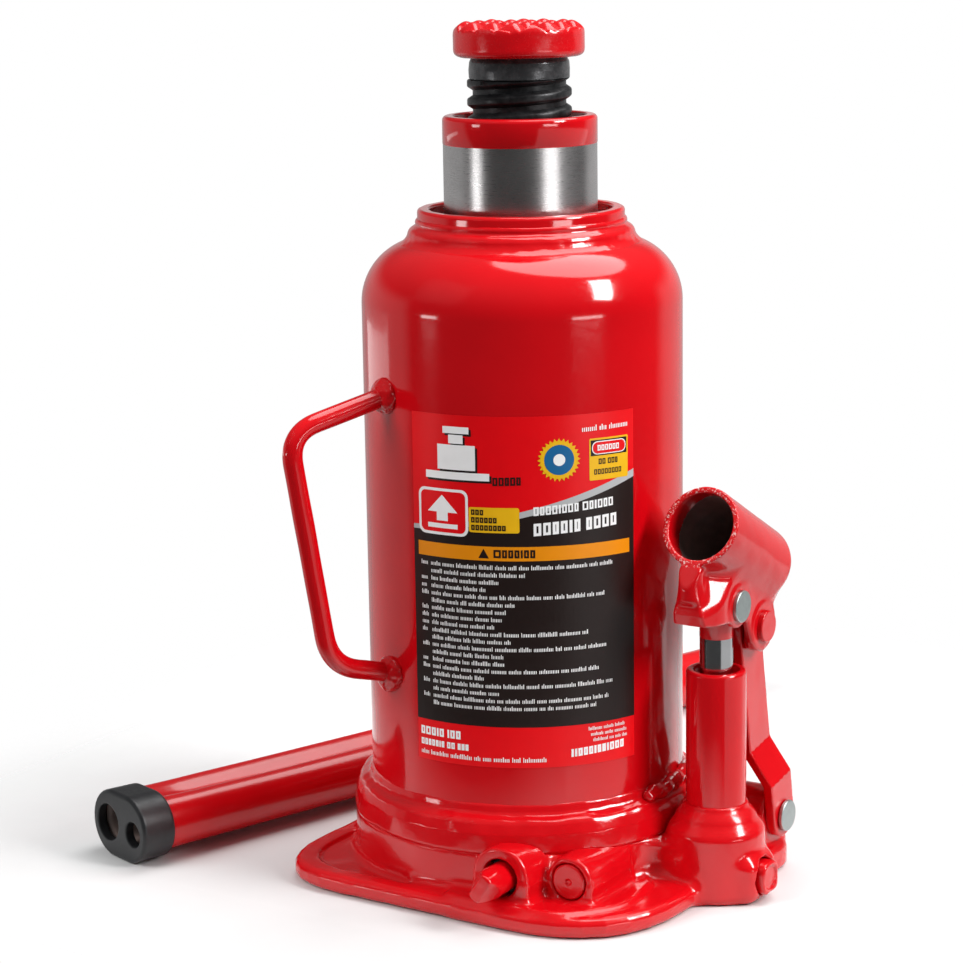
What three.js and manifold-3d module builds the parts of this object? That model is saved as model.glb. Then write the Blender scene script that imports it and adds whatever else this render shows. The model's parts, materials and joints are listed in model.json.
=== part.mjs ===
// A 20 tonne hydraulic bottle jack with its loose pump handle beside it.
// Millimetres, +Z up. The origin is on the ground, on the ram's axis.
// +X points to the hand pump and -Y to the front, where the release valve is.

import * as THREE from 'three';
import { mergeVertices } from 'three/addons/utils/BufferGeometryUtils.js';
import Module from 'manifold-3d';

const wasm = await Module();
wasm.setup();

// ---------------------------------------------------------------- dimensions

const gap = 0.3; // clearance between neighbouring pieces
const halfTurn = Math.PI / 2;

const screwRaise = 18.5; // how far the extension screw is turned out

const ramRadius = 25;
const ramTop = 250.6;
const ramBoreRadius = 17.3;
const ramBoreFloor = 136;
const ramMouthRadius = 21;
const ramMouthDepth = 6;
const pistonBottom = 34.6;

const screwRadius = 17;
const screwBottom = 161;
const screwNeckRadius = 16.2;
const screwNeckHeight = 7.1;
const saddleRadius = 21.3;
const saddleBottom = ramTop + screwRaise;
const saddleHeight = 11.4;

const cylinderBore = 28;
const cylinderRadius = 33.5;
const cylinderBottom = 14.3;
const cylinderTop = 203.7;
const bypassZ = 166;

const nutRadius = 33.2;
const nutTop = 220.8;
const nutMouthRadius = 29.8;
const nutLandRadius = 25.5;
const nutSkirtRadius = 38;
const nutFlangeZ = 206;

const tankRadius = 52.5;
const tankWall = 3;
const tankShoulderRadius = 20.5;
const tankShoulderZ = 190.5;
const fillerZ = 168;

const bossRadius = 58.3;
const bossTop = 20;
const weldTop = 29.4;
const beadRadius = 58.4;
const plateThickness = 6.5;
const seatDepth = 7; // depth of the pressure cylinder's seat in the base

const pumpX = 72;
const pumpRadius = 9.8;
const pumpBore = 5.8;
const pumpTop = 75.3;
const pumpBottom = 14;
const pumpBossRadius = 16;
const plungerRadius = 5.4;
const plungerBottom = 27;

const plungerPin = { y: 0, z: 97 };
const linkPin = { y: 17, z: 86.6 };
const fulcrum = { y: 29.3, z: 18.9 };
const pinRadius = 3.5;
const pinHole = pinRadius + gap;
const pinHeadRadius = 5.2;
const cheekHalfWidth = 8.2;

const socketTilt = THREE.MathUtils.degToRad(28.5);
const socketMouth = { y: -11.2, z: 124.5 };
const socketLength = 47.5;
const socketRadius = 13.2;
const socketBore = 11.1;

const linkThickness = 3.3;
const linkWidth = 14.6;
const linkInnerTop = 0.2;
const linkInnerFoot = 7;
const lugHalfWidth = linkInnerFoot - gap;

const releaseValve = { x: 27, z: 15, faceY: -61 };
const spindleTip = -42.4; // y of the needle's inner end
const spindleLength = 32.4;
const reliefPlug = { x: 46.5, z: 14.2, faceY: -51 };
const oilwayZ = 8;

const carryRodRadius = 3.2;
const carryHeading = THREE.MathUtils.degToRad(245); // direction in which the carry handle stands out

const labelHalfAngle = THREE.MathUtils.degToRad(41.5);
const labelHeading = THREE.MathUtils.degToRad(-58.5);
const labelBottom = 47;
const labelTop = 161;

const leverHeading = THREE.MathUtils.degToRad(72.9);
const leverStart = { x: -116.6, y: -76.9 };
const leverLength = 300;
const leverTubeRadius = 10.5;
const leverCapLength = 13;
const leverCapRadius = 11.8;

// ----------------------------------------------------------------- materials

function finish(color, roughness, metalness = 0) {
  return new THREE.MeshStandardMaterial({ color, roughness, metalness });
}

const redEnamel = finish('#c9101c', 0.25);
const groundSteel = finish('#b9bcc0', 0.2, 1);
const plainSteel = finish('#8d9196', 0.4, 1);
const zincPlate = finish('#a3adab', 0.35, 1);
const blackOxide = finish('#1b1b1d', 0.45, 0.6);
const bronze = finish('#9c7a3c', 0.4, 1);
const copper = finish('#b06a45', 0.35, 1);
const rubber = finish('#1a1a1a', 0.7);
const blackPlastic = finish('#2b2d30', 0.5);
const labelFilm = finish('#b5121c', 0.35);

// ------------------------------------------------------------- shape helpers

// Merges shared corners, drops flat triangles and turns the faces outwards.
function weld(geometry) {
  const source = geometry.index ? geometry.toNonIndexed() : geometry.clone();
  source.deleteAttribute('normal');
  source.deleteAttribute('uv');
  const merged = mergeVertices(source, 1e-4);
  const index = merged.index.array;
  const corner = (i) => new THREE.Vector3().fromBufferAttribute(merged.attributes.position, i);
  const faces = [];
  let volume = 0;
  for (let i = 0; i < index.length; i += 3) {
    const [a, b, c] = [index[i], index[i + 1], index[i + 2]];
    if (a === b || b === c || a === c) continue;
    volume += corner(a).dot(corner(b).cross(corner(c)));
    faces.push([a, b, c]);
  }
  const outward = volume < 0 ? faces.map(([a, b, c]) => [a, c, b]) : faces;
  merged.setIndex(outward.flat());
  return merged;
}

function toSolid(geometry) {
  const welded = weld(geometry);
  return new wasm.Manifold(new wasm.Mesh({
    numProp: 3,
    vertProperties: new Float32Array(welded.attributes.position.array),
    triVerts: new Uint32Array(welded.index.array),
  }));
}

function toGeometry(solid) {
  const { vertProperties, triVerts } = solid.getMesh();
  const geometry = new THREE.BufferGeometry();
  geometry.setAttribute('position', new THREE.BufferAttribute(vertProperties, 3));
  geometry.setIndex(new THREE.BufferAttribute(triVerts, 1));
  return geometry;
}

// Joins the shapes in the first list, then cuts away those in the second.
function combine(joined, cuts = []) {
  const whole = joined.map(toSolid).reduce((sum, piece) => sum.add(piece));
  const result = cuts.map(toSolid).reduce((rest, cut) => rest.subtract(cut), whole);
  return toGeometry(result);
}

// Turns a closed outline of [radius, height] points about the Z axis.
function turned(outline, segments = 32) {
  const points = [...outline, outline[0]].map(([r, z]) => new THREE.Vector2(r, z));
  return weld(new THREE.LatheGeometry(points, segments).rotateX(halfTurn));
}

function tube(inner, outer, bottom, top, segments = 32) {
  return turned([[inner, bottom], [outer, bottom], [outer, top], [inner, top]], segments);
}

function disc(radius, bottom, top, segments = 20) {
  return turned([[0, bottom], [radius, bottom], [radius, top], [0, top]], segments);
}

// A round bar between two points.
function bar(from, to, radius, segments = 12) {
  const start = new THREE.Vector3(...from);
  const way = new THREE.Vector3(...to).sub(start);
  const turn = new THREE.Quaternion().setFromUnitVectors(new THREE.Vector3(0, 0, 1), way.clone().normalize());
  const geometry = disc(radius, 0, way.length(), segments);
  return geometry.applyQuaternion(turn).translate(start.x, start.y, start.z);
}

// Extrudes an outline drawn in the XY plane from one height to another.
function slab(shape, bottom, top, curveSegments = 5) {
  const geometry = new THREE.ExtrudeGeometry(shape, { depth: top - bottom, bevelEnabled: false, curveSegments });
  return geometry.translate(0, 0, bottom);
}

// Extrudes an outline of (y, z) points along X.
function sidePlate(shape, fromX, toX, curveSegments = 6) {
  const geometry = new THREE.ExtrudeGeometry(shape, { depth: toX - fromX, bevelEnabled: false, curveSegments });
  geometry.rotateY(halfTurn).rotateX(halfTurn);
  return geometry.translate(fromX, 0, 0);
}

// Extrudes an outline of (x, z) points along Y.
function frontPlate(shape, fromY, toY, curveSegments = 6) {
  const geometry = new THREE.ExtrudeGeometry(shape, { depth: toY - fromY, bevelEnabled: false, curveSegments });
  return geometry.rotateX(halfTurn).translate(0, toY, 0);
}

function block(width, depth, height, x, y, z) {
  return new THREE.BoxGeometry(width, depth, height).translate(x, y, z);
}

function outline(points) {
  return new THREE.Shape(points.map(([a, b]) => new THREE.Vector2(a, b)));
}

// A polygon whose corners are [x, y, radius].
function roundedOutline(corners) {
  const shape = new THREE.Shape();
  const count = corners.length;
  corners.forEach(([x, y, radius], i) => {
    const here = new THREE.Vector2(x, y);
    const before = new THREE.Vector2(...corners[(i + count - 1) % count]).sub(here).normalize();
    const after = new THREE.Vector2(...corners[(i + 1) % count]).sub(here).normalize();
    const enter = here.clone().addScaledVector(before, radius);
    const leave = here.clone().addScaledVector(after, radius);
    if (i === 0) shape.moveTo(enter.x, enter.y);
    else shape.lineTo(enter.x, enter.y);
    shape.quadraticCurveTo(x, y, leave.x, leave.y);
  });
  return shape;
}

// A wire coil about the Z axis, as one closed tube.
class Coil extends THREE.Curve {
  constructor(radius, height, turns) {
    super();
    Object.assign(this, { radius, height, turns });
  }

  getPoint(t, target = new THREE.Vector3()) {
    const angle = 2 * Math.PI * this.turns * t;
    return target.set(this.radius * Math.cos(angle), this.radius * Math.sin(angle), this.height * t);
  }
}

function spring(radius, wire, height, turns) {
  const section = new THREE.Shape().absarc(0, 0, wire / 2, 0, 2 * Math.PI);
  const extrudePath = new Coil(radius, height, turns);
  return new THREE.ExtrudeGeometry(section, { steps: turns * 8, curveSegments: 2, extrudePath });
}

function piece(name, geometry, material) {
  const mesh = new THREE.Mesh(weld(geometry), material);
  mesh.name = name;
  return mesh;
}

function assembly(...pieces) {
  return new THREE.Group().add(...pieces);
}

// -------------------------------------------------------------- base casting

const plateOutline = roundedOutline([
  [-61.5, -66.9, 28], [74, -66.9, 44], [74, 60, 38], [-61.5, 60, 28],
]);

function pumpBoss() {
  return turned([
    [0, 0], [15, 0], [pumpBossRadius, 1.2], [pumpBossRadius, 22.5], [15.2, 26], [13, 28.3],
    [12.2, 30.4], [10.6, 31], [0, 31],
  ], 24).translate(pumpX, 0, 0);
}

function fulcrumLug() {
  const top = 9;
  const shape = new THREE.Shape();
  shape.moveTo(8, 0);
  shape.lineTo(fulcrum.y + 8, 0);
  shape.lineTo(fulcrum.y + top, 12);
  shape.lineTo(fulcrum.y + top, fulcrum.z);
  shape.absarc(fulcrum.y, fulcrum.z, top, 0, Math.PI);
  shape.lineTo(8, fulcrum.z);
  return sidePlate(shape, pumpX - lugHalfWidth, pumpX + lugHalfWidth);
}

// The footing from which the lug rises, wider than the lug itself.
function lugFooting() {
  return slab(roundedOutline([[40, 0, 4], [82, 6, 6], [82, 37, 8], [40, 44, 4]]), 0, 8.5);
}

// An arched boss whose flat face looks forward, holding a valve.
function valveBoss({ x, z, faceY }, halfWidth, depth) {
  const shape = new THREE.Shape();
  shape.moveTo(x - halfWidth, 1);
  shape.lineTo(x + halfWidth, 1);
  shape.lineTo(x + halfWidth, z);
  shape.absarc(x, z, halfWidth, 0, Math.PI);
  return frontPlate(shape, faceY, faceY + depth);
}

// The neck that joins the round boss under the tank to the pump boss.
function pumpNeck() {
  const shape = outline([[30, -24], [60, -13], [pumpX, -12], [pumpX, 12], [60, 14], [30, 30]]);
  return slab(shape, 0, 19);
}

function sidePlugBoss() {
  const corners = [[-8.5, 0.8, 2], [8, 0.8, 3], [8, 13, 5], [-8.5, 14.5, 5]];
  return sidePlate(roundedOutline(corners), 80, 90.3);
}

function baseCasting() {
  const boss = turned([[0, 0], [57, 0], [bossRadius, 2], [bossRadius, bossTop], [0, bossTop]], 40);
  const recess = roundedOutline([[-50, -56, 14], [20, -56, 4], [20, -20, 4], [-50, 40, 14]]);
  const valveSeatY = -36;
  return combine([
    slab(plateOutline, 0, plateThickness, 6),
    boss, pumpNeck(), pumpBoss(), fulcrumLug(), lugFooting(), sidePlugBoss(),
    valveBoss(releaseValve, 9, 20), valveBoss(reliefPlug, 8, 24),
  ], [
    // shallow pocket cast into the plate's top, outside the round boss
    toGeometry(toSolid(slab(recess, plateThickness - 1.2, plateThickness + 1, 3))
      .subtract(toSolid(disc(bossRadius + 1, 0, 40, 32)))),
    disc(cylinderRadius + gap, bossTop - seatDepth, bossTop + 1, 32),
    // room above the round boss for the tank and its weld
    disc(beadRadius + gap, bossTop, 40, 40),
    // pump seat and the chamber under it
    disc(pumpRadius + gap, pumpBottom - 1.3, 40).translate(pumpX, 0, 0),
    disc(6, 6, pumpBottom).translate(pumpX, 0, 0),
    // oilways: pump to cylinder, reservoir to pump
    bar([10, 0, oilwayZ], [pumpX, 0, oilwayZ], 3.6),
    bar([14, 0, oilwayZ], [14, 0, bossTop], 3),
    bar([pumpX, 0, oilwayZ], [92, 0, oilwayZ], 4.1),
    bar([40, 20, 5], [40, 20, bossTop + 1], 2.8),
    bar([40, 20, 5.2], [84, 1, 5.6], 2.2, 12),
    // release valve: mouth, thread, ball seat, and oilways to cylinder and reservoir
    bar([releaseValve.x, -62, releaseValve.z], [releaseValve.x, -52, releaseValve.z], 6.2, 24),
    bar([releaseValve.x, -53, releaseValve.z], [releaseValve.x, -43, releaseValve.z], 5.3),
    bar([releaseValve.x, -44, releaseValve.z], [releaseValve.x, valveSeatY, releaseValve.z], 3.4),
    bar([releaseValve.x, valveSeatY - 1, releaseValve.z], [18, 0, oilwayZ], 1.6, 12),
    bar([25.5, -40.5, releaseValve.z], [25.5, -40.5, bossTop + 1], 1.5, 12),
    // relief valve: plug bore, spring bore, and oilways
    bar([reliefPlug.x, -52, reliefPlug.z], [reliefPlug.x, -41, reliefPlug.z], 6.1, 24),
    bar([reliefPlug.x, -42, reliefPlug.z], [reliefPlug.x, -28, reliefPlug.z], 3.2),
    bar([reliefPlug.x, -29, reliefPlug.z], [46, 0, oilwayZ], 1.5, 12),
    bar([47, -33, reliefPlug.z], [38, -25, bossTop + 1], 1.5, 12),
    // fulcrum pin hole through the lug
    bar([pumpX - 10, fulcrum.y, fulcrum.z], [pumpX + 10, fulcrum.y, fulcrum.z], pinHole),
  ]);
}

function baseWeldBead() {
  return turned([
    [tankRadius + gap, bossTop + gap], [57.6, bossTop + gap], [beadRadius, 22.4], [58, 24.6], [56.2, 26],
    [55.4, 28], [53.6, weldTop], [tankRadius + gap, weldTop],
  ], 40);
}

// ---------------------------------------------------------- tank and cylinder

// Quarter round shoulder points, from the side wall up to the neck.
function shoulder(radius, steps) {
  const centre = tankRadius - tankShoulderRadius;
  return Array.from({ length: steps + 1 }, (_, i) => {
    const angle = (halfTurn * i) / steps;
    return [centre + radius * Math.cos(angle), tankShoulderZ + radius * Math.sin(angle)];
  });
}

function reservoirTank() {
  const mouth = nutRadius + gap;
  const onMouth = ([r]) => r > mouth;
  const outer = shoulder(tankShoulderRadius, 7).filter(onMouth);
  const inner = shoulder(tankShoulderRadius - tankWall, 5).filter(onMouth).reverse();
  const shell = turned([
    [tankRadius - tankWall, bossTop + gap], [tankRadius, bossTop + gap], ...outer,
    [mouth, tankShoulderZ + tankShoulderRadius - 0.05], [mouth, tankShoulderZ + tankShoulderRadius - tankWall],
    ...inner,
  ], 40);
  return combine([shell], [bar([0, 40, fillerZ], [0, 60, fillerZ], 6.3, 20)]);
}

// The cylinder in which the ram's piston slides, with the small port that ends the lift.
function pressureCylinder() {
  const wall = tube(cylinderBore, cylinderRadius, cylinderBottom, cylinderTop);
  return combine([wall], [bar([0, 20, bypassZ], [0, 40, bypassZ], 1.2, 8)]);
}

function topWeldBead() {
  const foot = tankShoulderZ + tankShoulderRadius;
  return turned([
    [nutRadius + gap, foot + gap], [35.6, foot + gap], [38.2, foot - 0.6], [38.2, foot + 1.2],
    [37.2, foot + 2.9], [35.4, foot + 4.4], [nutRadius + gap, foot + 4.8],
  ], 40);
}

function topNut() {
  return turned([
    [27.4, 204], [cylinderRadius + gap, 204], [cylinderRadius + gap, 186], [nutSkirtRadius, 186],
    [nutSkirtRadius, nutFlangeZ], [nutRadius, nutFlangeZ], [nutRadius, nutTop - 0.8], [nutRadius - 0.8, nutTop],
    [nutMouthRadius + 0.6, nutTop], [nutMouthRadius, nutTop - 0.8], [nutMouthRadius, 215], [nutLandRadius, 215],
    [nutLandRadius, 213], [27.4, 213],
  ], 40);
}

function fillerPlug() {
  const plug = turned([
    [0, 0], [3.4, 0], [3.4, 3], [6, 4.2], [8.2, 4.6], [8.2, 6.6], [7.4, 7.4], [0, 7.4],
  ], 24);
  return plug.rotateX(-halfTurn).translate(0, tankRadius - 4.2, fillerZ);
}

// ------------------------------------------------------------- carry handle

class CarryPath extends THREE.CurvePath {
  constructor() {
    super();
    const out = new THREE.Vector3(Math.cos(carryHeading), Math.sin(carryHeading), 0);
    const at = (reach, z) => out.clone().multiplyScalar(reach).setZ(z);
    const corners = [at(53.4, 164), at(88, 155.6), at(75.2, 75.4), at(53.4, 72.2)];
    const bend = 8;
    let from = corners[0];
    for (const i of [1, 2]) {
      const here = corners[i];
      const enter = here.clone().addScaledVector(corners[i - 1].clone().sub(here).normalize(), bend);
      const leave = here.clone().addScaledVector(corners[i + 1].clone().sub(here).normalize(), bend);
      this.add(new THREE.LineCurve3(from, enter));
      this.add(new THREE.QuadraticBezierCurve3(enter, here, leave));
      from = leave;
    }
    this.add(new THREE.LineCurve3(from, corners[3]));
  }
}

function carryHandle() {
  const section = new THREE.Shape().absarc(0, 0, carryRodRadius, 0, 2 * Math.PI);
  return new THREE.ExtrudeGeometry(section, { steps: 30, curveSegments: 5, extrudePath: new CarryPath() });
}

// A collar of weld metal round one end of the handle, following the tank's wall.
function handleWeld(z, rise) {
  const collar = turned([[0, 0], [5.6, 0], [5.4, 2], [4.2, 4.2], [0, 4.2]], 16);
  collar.rotateY(halfTurn).rotateZ(carryHeading);
  const reach = tankRadius - 0.6;
  collar.translate(reach * Math.cos(carryHeading), reach * Math.sin(carryHeading), z);
  const out = new THREE.Vector3(Math.cos(carryHeading), Math.sin(carryHeading), rise);
  const from = out.clone().multiplyScalar(40).setZ(z - rise * (reach - 40));
  const to = out.clone().multiplyScalar(70).setZ(z + rise * (70 - reach));
  const tankSpace = disc(tankRadius + gap, 50, 190, 96);
  const rodSpace = bar(from.toArray(), to.toArray(), carryRodRadius + gap);
  return combine([collar], [tankSpace, rodSpace]);
}

// -------------------------------------------------------------------- label

function ratingLabel() {
  const inner = tankRadius + gap;
  const outer = inner + 0.35;
  const shape = new THREE.Shape();
  shape.absarc(0, 0, outer, labelHeading - labelHalfAngle, labelHeading + labelHalfAngle);
  shape.absarc(0, 0, inner, labelHeading + labelHalfAngle, labelHeading - labelHalfAngle, true);
  return slab(shape, labelBottom, labelTop, 14);
}

// ---------------------------------------------------------------- hand pump

function pumpCylinder() {
  return turned([
    [pumpBore, pumpBottom], [pumpRadius, pumpBottom], [pumpRadius, pumpTop - 0.8], [pumpRadius - 0.8, pumpTop],
    [7.4, pumpTop], [7.2, pumpTop - 2.4], [pumpBore, pumpTop - 2.8],
  ], 28).translate(pumpX, 0, 0);
}

function plunger() {
  const top = plungerPin.z + 5.2;
  const body = turned([
    [0, plungerBottom - 6], [2.4, plungerBottom - 6], [2.4, plungerBottom], [plungerRadius, plungerBottom],
    [plungerRadius, top - 3], [plungerRadius - 3, top], [0, top],
  ], 24).translate(pumpX, 0, 0);
  const eye = 4.3; // wide enough for the pin's small sideways sweep
  return combine([body], [
    bar([pumpX - 10, plungerPin.y, plungerPin.z], [pumpX + 10, plungerPin.y, plungerPin.z], eye, 16),
  ]);
}

// The lever arm's tube and clevis, cast in one.
function handleSocket() {
  const ahead = new THREE.Vector3(0, -Math.cos(socketTilt), Math.sin(socketTilt));
  const along = (distance, drop = 0) => [
    pumpX,
    socketMouth.y - ahead.y * distance - drop * Math.sin(socketTilt),
    socketMouth.z - ahead.z * distance - drop * Math.cos(socketTilt),
  ];
  const cheek = new THREE.Shape();
  cheek.moveTo(-19.6, 97);
  cheek.quadraticCurveTo(-18.6, 93.4, -14, 93.2);
  cheek.lineTo(2, 92);
  cheek.quadraticCurveTo(6, 90.6, 8.4, 83.6);
  cheek.absarc(linkPin.y, linkPin.z, 9, Math.PI + 0.4, 2 * Math.PI + 0.35);
  cheek.quadraticCurveTo(24.5, 94, 30, 100);
  cheek.lineTo(30, 102);
  cheek.lineTo(-10.6, 124.2);
  cheek.lineTo(-16.9, 112.7);
  const body = sidePlate(cheek, pumpX - cheekHalfWidth, pumpX + cheekHalfWidth);
  // the front of the clevis narrows to a nose
  const plan = outline([
    [pumpX - 5, -20.5], [pumpX + 5, -20.5], [pumpX + 9, -9], [pumpX + 9, 40], [pumpX - 9, 40], [pumpX - 9, -9],
  ]);
  const narrowed = toGeometry(toSolid(body).intersect(toSolid(slab(plan, 70, 130))));
  const hollow = new THREE.Shape();
  hollow.moveTo(-15.5, 70);
  hollow.lineTo(-15.5, 98);
  hollow.quadraticCurveTo(-12, 103, -4.5, 103.6);
  hollow.lineTo(4, 103.6);
  hollow.lineTo(11, 98);
  hollow.lineTo(11, 70);
  const fork = new THREE.Shape();
  fork.moveTo(10, 70);
  fork.lineTo(10, 96);
  fork.lineTo(16, 95.4);
  fork.lineTo(40, 93);
  fork.lineTo(40, 70);
  return combine([
    bar(along(0), along(socketLength), socketRadius, 28),
    narrowed,
  ], [
    bar(along(-1), along(socketLength - 3.5), socketBore, 28),
    sidePlate(hollow, pumpX - 5.8, pumpX + 5.8),
    sidePlate(fork, pumpX - 3.9, pumpX + 3.9),
    bar([pumpX - 12, plungerPin.y, plungerPin.z], [pumpX + 12, plungerPin.y, plungerPin.z], pinHole),
    bar([pumpX - 12, linkPin.y, linkPin.z], [pumpX + 12, linkPin.y, linkPin.z], pinHole),
  ]);
}

// A headed pin along X with a groove for its clip at the far end.
function headedPin({ y, z }, headX, headThickness) {
  const reach = headX - pumpX;
  const pin = turned([
    [0, -reach - 3], [pinRadius - 0.6, -reach - 3], [pinRadius, -reach - 2.4], [pinRadius, reach],
    [pinHeadRadius, reach], [pinHeadRadius, reach + headThickness - 0.5],
    [pinHeadRadius - 0.5, reach + headThickness], [0, reach + headThickness],
  ], 16);
  return pin.rotateY(halfTurn).translate(pumpX, y, z);
}

// A spring clip, open on one side, round the tail of a pin.
function pinClip({ y, z }, faceX) {
  const open = 0.7;
  const shape = new THREE.Shape();
  shape.absarc(y, z, pinRadius + 1.9, open, 2 * Math.PI - open);
  shape.absarc(y, z, pinRadius + gap, 2 * Math.PI - open, open, true);
  return sidePlate(shape, faceX - 1, faceX, 7);
}

// A strap from the fulcrum up to the link pin, joggled inwards above the fulcrum.
function linkPlate(side) {
  const rise = new THREE.Vector2(linkPin.y - fulcrum.y, linkPin.z - fulcrum.z);
  const length = rise.length();
  const lean = Math.atan2(-rise.x, rise.y);
  const half = linkWidth / 2;
  const profile = (shift) => [
    [linkInnerFoot + shift, -10], [linkInnerFoot + shift, 13], [linkInnerTop + shift, 24.5],
    [linkInnerTop + shift, length + 10],
  ];
  const section = outline([...profile(0), ...profile(linkThickness).reverse()]);
  const strip = frontPlate(section, -half, half);
  const face = new THREE.Shape();
  face.absarc(0, 0, half, Math.PI, 2 * Math.PI);
  face.absarc(0, length, half, 0, Math.PI);
  const strap = toGeometry(toSolid(strip).intersect(toSolid(sidePlate(face, -20, 20, 10))));
  const drilled = combine([strap], [
    bar([-20, 0, 0], [20, 0, 0], pinHole),
    bar([-20, 0, length], [20, 0, length], pinHole),
  ]);
  if (side < 0) drilled.scale(-1, 1, 1);
  return weld(drilled.rotateX(lean).translate(pumpX, fulcrum.y, fulcrum.z));
}

function sidePlug() {
  const plug = turned([[0, 0], [3.8, 0], [3.8, 5], [6.4, 5], [6.4, 6.6], [5.6, 7.2], [0, 7.2]], 20);
  return plug.rotateY(halfTurn).translate(85.6, 0, oilwayZ);
}

// ------------------------------------------------------------------- valves

function releaseSpindle() {
  const stem = turned([
    [0, 0], [1.8, 0], [2.8, 2], [2.8, 6.5], [5, 6.5], [5, 11], [3.9, 11], [3.9, 14.4], [5, 14.4],
    [5, spindleLength - 0.6], [4.4, spindleLength], [0, spindleLength],
  ], 24);
  const flat = 12;
  const chisel = [
    block(flat, 16, 12, 1.6 + flat / 2, 0, 0).rotateY(-0.42).translate(2, 0, spindleLength - 2),
    block(flat, 16, 12, -1.6 - flat / 2, 0, 0).rotateY(0.42).translate(-2, 0, spindleLength - 2),
  ];
  const spindle = combine([stem], chisel);
  spindle.rotateZ(0.6).rotateX(halfTurn);
  return spindle.translate(releaseValve.x, spindleTip, releaseValve.z);
}

function spindleSeal() {
  const ring = turned([[4.2, 11.3], [5.9, 11.3], [5.9, 14.1], [4.2, 14.1]], 20);
  return ring.rotateX(halfTurn).translate(releaseValve.x, spindleTip, releaseValve.z);
}

function reliefValvePlug() {
  const plug = turned([
    [0, 0], [2.6, 0], [2.6, 2], [5.8, 2], [5.8, 10.4], [5.2, 11], [1.2, 11], [0, 10.2],
  ], 24);
  return plug.rotateX(halfTurn).translate(reliefPlug.x, -41 + 0.6, reliefPlug.z);
}

function ball(radius, x, y, z) {
  return new THREE.IcosahedronGeometry(radius, 1).translate(x, y, z);
}

// ------------------------------------------------------------ ram and screw

function ram() {
  return turned([
    [0, pistonBottom], [13, pistonBottom], [13, 48], [ramRadius, 48], [ramRadius, ramTop - 1.4],
    [ramRadius - 1.4, ramTop], [ramMouthRadius, ramTop], [ramMouthRadius - 0.6, ramTop - ramMouthDepth],
    [ramBoreRadius, ramTop - ramMouthDepth - 2], [ramBoreRadius, ramBoreFloor], [0, ramBoreFloor - 6],
  ], 40);
}

function pistonNut() {
  return combine([disc(22, pistonBottom - 0.6, 38.3, 6)], [disc(13 + gap, 30, 40)]);
}

// The screw is drawn to the crests of its 6 mm thread, with the plain neck above it.
function extensionScrew() {
  const shoulderZ = saddleBottom - screwNeckHeight;
  return turned([
    [0, screwBottom - 8], [11, screwBottom - 8], [11, screwBottom], [screwRadius, screwBottom],
    [screwRadius, shoulderZ - 1.5], [screwNeckRadius, shoulderZ], [screwNeckRadius, saddleBottom - gap],
    [7, saddleBottom - gap], [7, saddleBottom + 5.7], [0, saddleBottom + 5.7],
  ], 28);
}

function saddle() {
  const top = saddleBottom + saddleHeight;
  const body = turned([
    [7.3, saddleBottom], [19.6, saddleBottom], [saddleRadius, saddleBottom + 2.2], [saddleRadius, top - 4.6],
    [19.8, top - 2.2], [17, top - 1.4], [0, top - 1.4], [0, saddleBottom + 6], [7.3, saddleBottom + 6],
  ], 32);
  const spacing = 7.6;
  const studs = [];
  for (const column of [-2, -1, 0, 1, 2]) {
    for (const row of [-2, -1, 0, 1, 2]) {
      if (Math.hypot(column, row) * spacing > 17) continue;
      studs.push(block(5.2, 5.2, 3, column * spacing, row * spacing, top - 1.5));
    }
  }
  return combine([body, ...studs]);
}

// --------------------------------------------------------- loose pump handle

// Section of the handle's tube: two round lobes, pinched together between them.
function leverSection(halfWidth, halfHeight, pinch, count = 24) {
  const reach = halfWidth - halfHeight;
  return Array.from({ length: count }, (_, i) => {
    const t = (2 * Math.PI * (i + 0.5)) / count;
    const x = reach * Math.tanh(3 * Math.cos(t)) + halfHeight * Math.cos(t);
    const squeeze = 1 - (pinch / halfHeight) * Math.exp(-((x / 4.4) ** 2));
    return [x, halfHeight * Math.sin(t) * squeeze];
  });
}

// A tube through stations of [distance, half width, half height, pinch].
function leverTube() {
  const stations = [
    [4, 14.6, 10.4, 0.2], [20, 14.6, 10.4, 0.8], [55, 14.4, 10.4, 4.2], [100, 14.2, 10.3, 5],
    [200, 14.2, 10.3, 5], [228, 12.6, 10.4, 2.6], [244, leverTubeRadius, leverTubeRadius, 0],
    [leverLength, leverTubeRadius, leverTubeRadius, 0],
  ];
  const wall = 1.8;
  const outer = stations.map(([, w, h, p]) => leverSection(w, h, p));
  const inner = stations.map(([, w, h, p]) => leverSection(w - wall, h - wall, p * 0.9));
  const count = outer[0].length;
  const loops = [...outer, ...inner.reverse()];
  const distances = [...stations.map(([d]) => d), ...stations.map(([d]) => d).reverse()];
  const positions = loops.flatMap((loop, i) => loop.flatMap(([x, z]) => [x, distances[i], z]));
  const index = [];
  loops.forEach((_, i) => {
    const here = i * count;
    const next = ((i + 1) % loops.length) * count;
    for (let k = 0; k < count; k += 1) {
      const after = (k + 1) % count;
      index.push(here + k, here + after, next + after, here + k, next + after, next + k);
    }
  });
  const geometry = new THREE.BufferGeometry();
  geometry.setAttribute('position', new THREE.Float32BufferAttribute(positions, 3));
  geometry.setIndex(index);
  return geometry;
}

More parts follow.
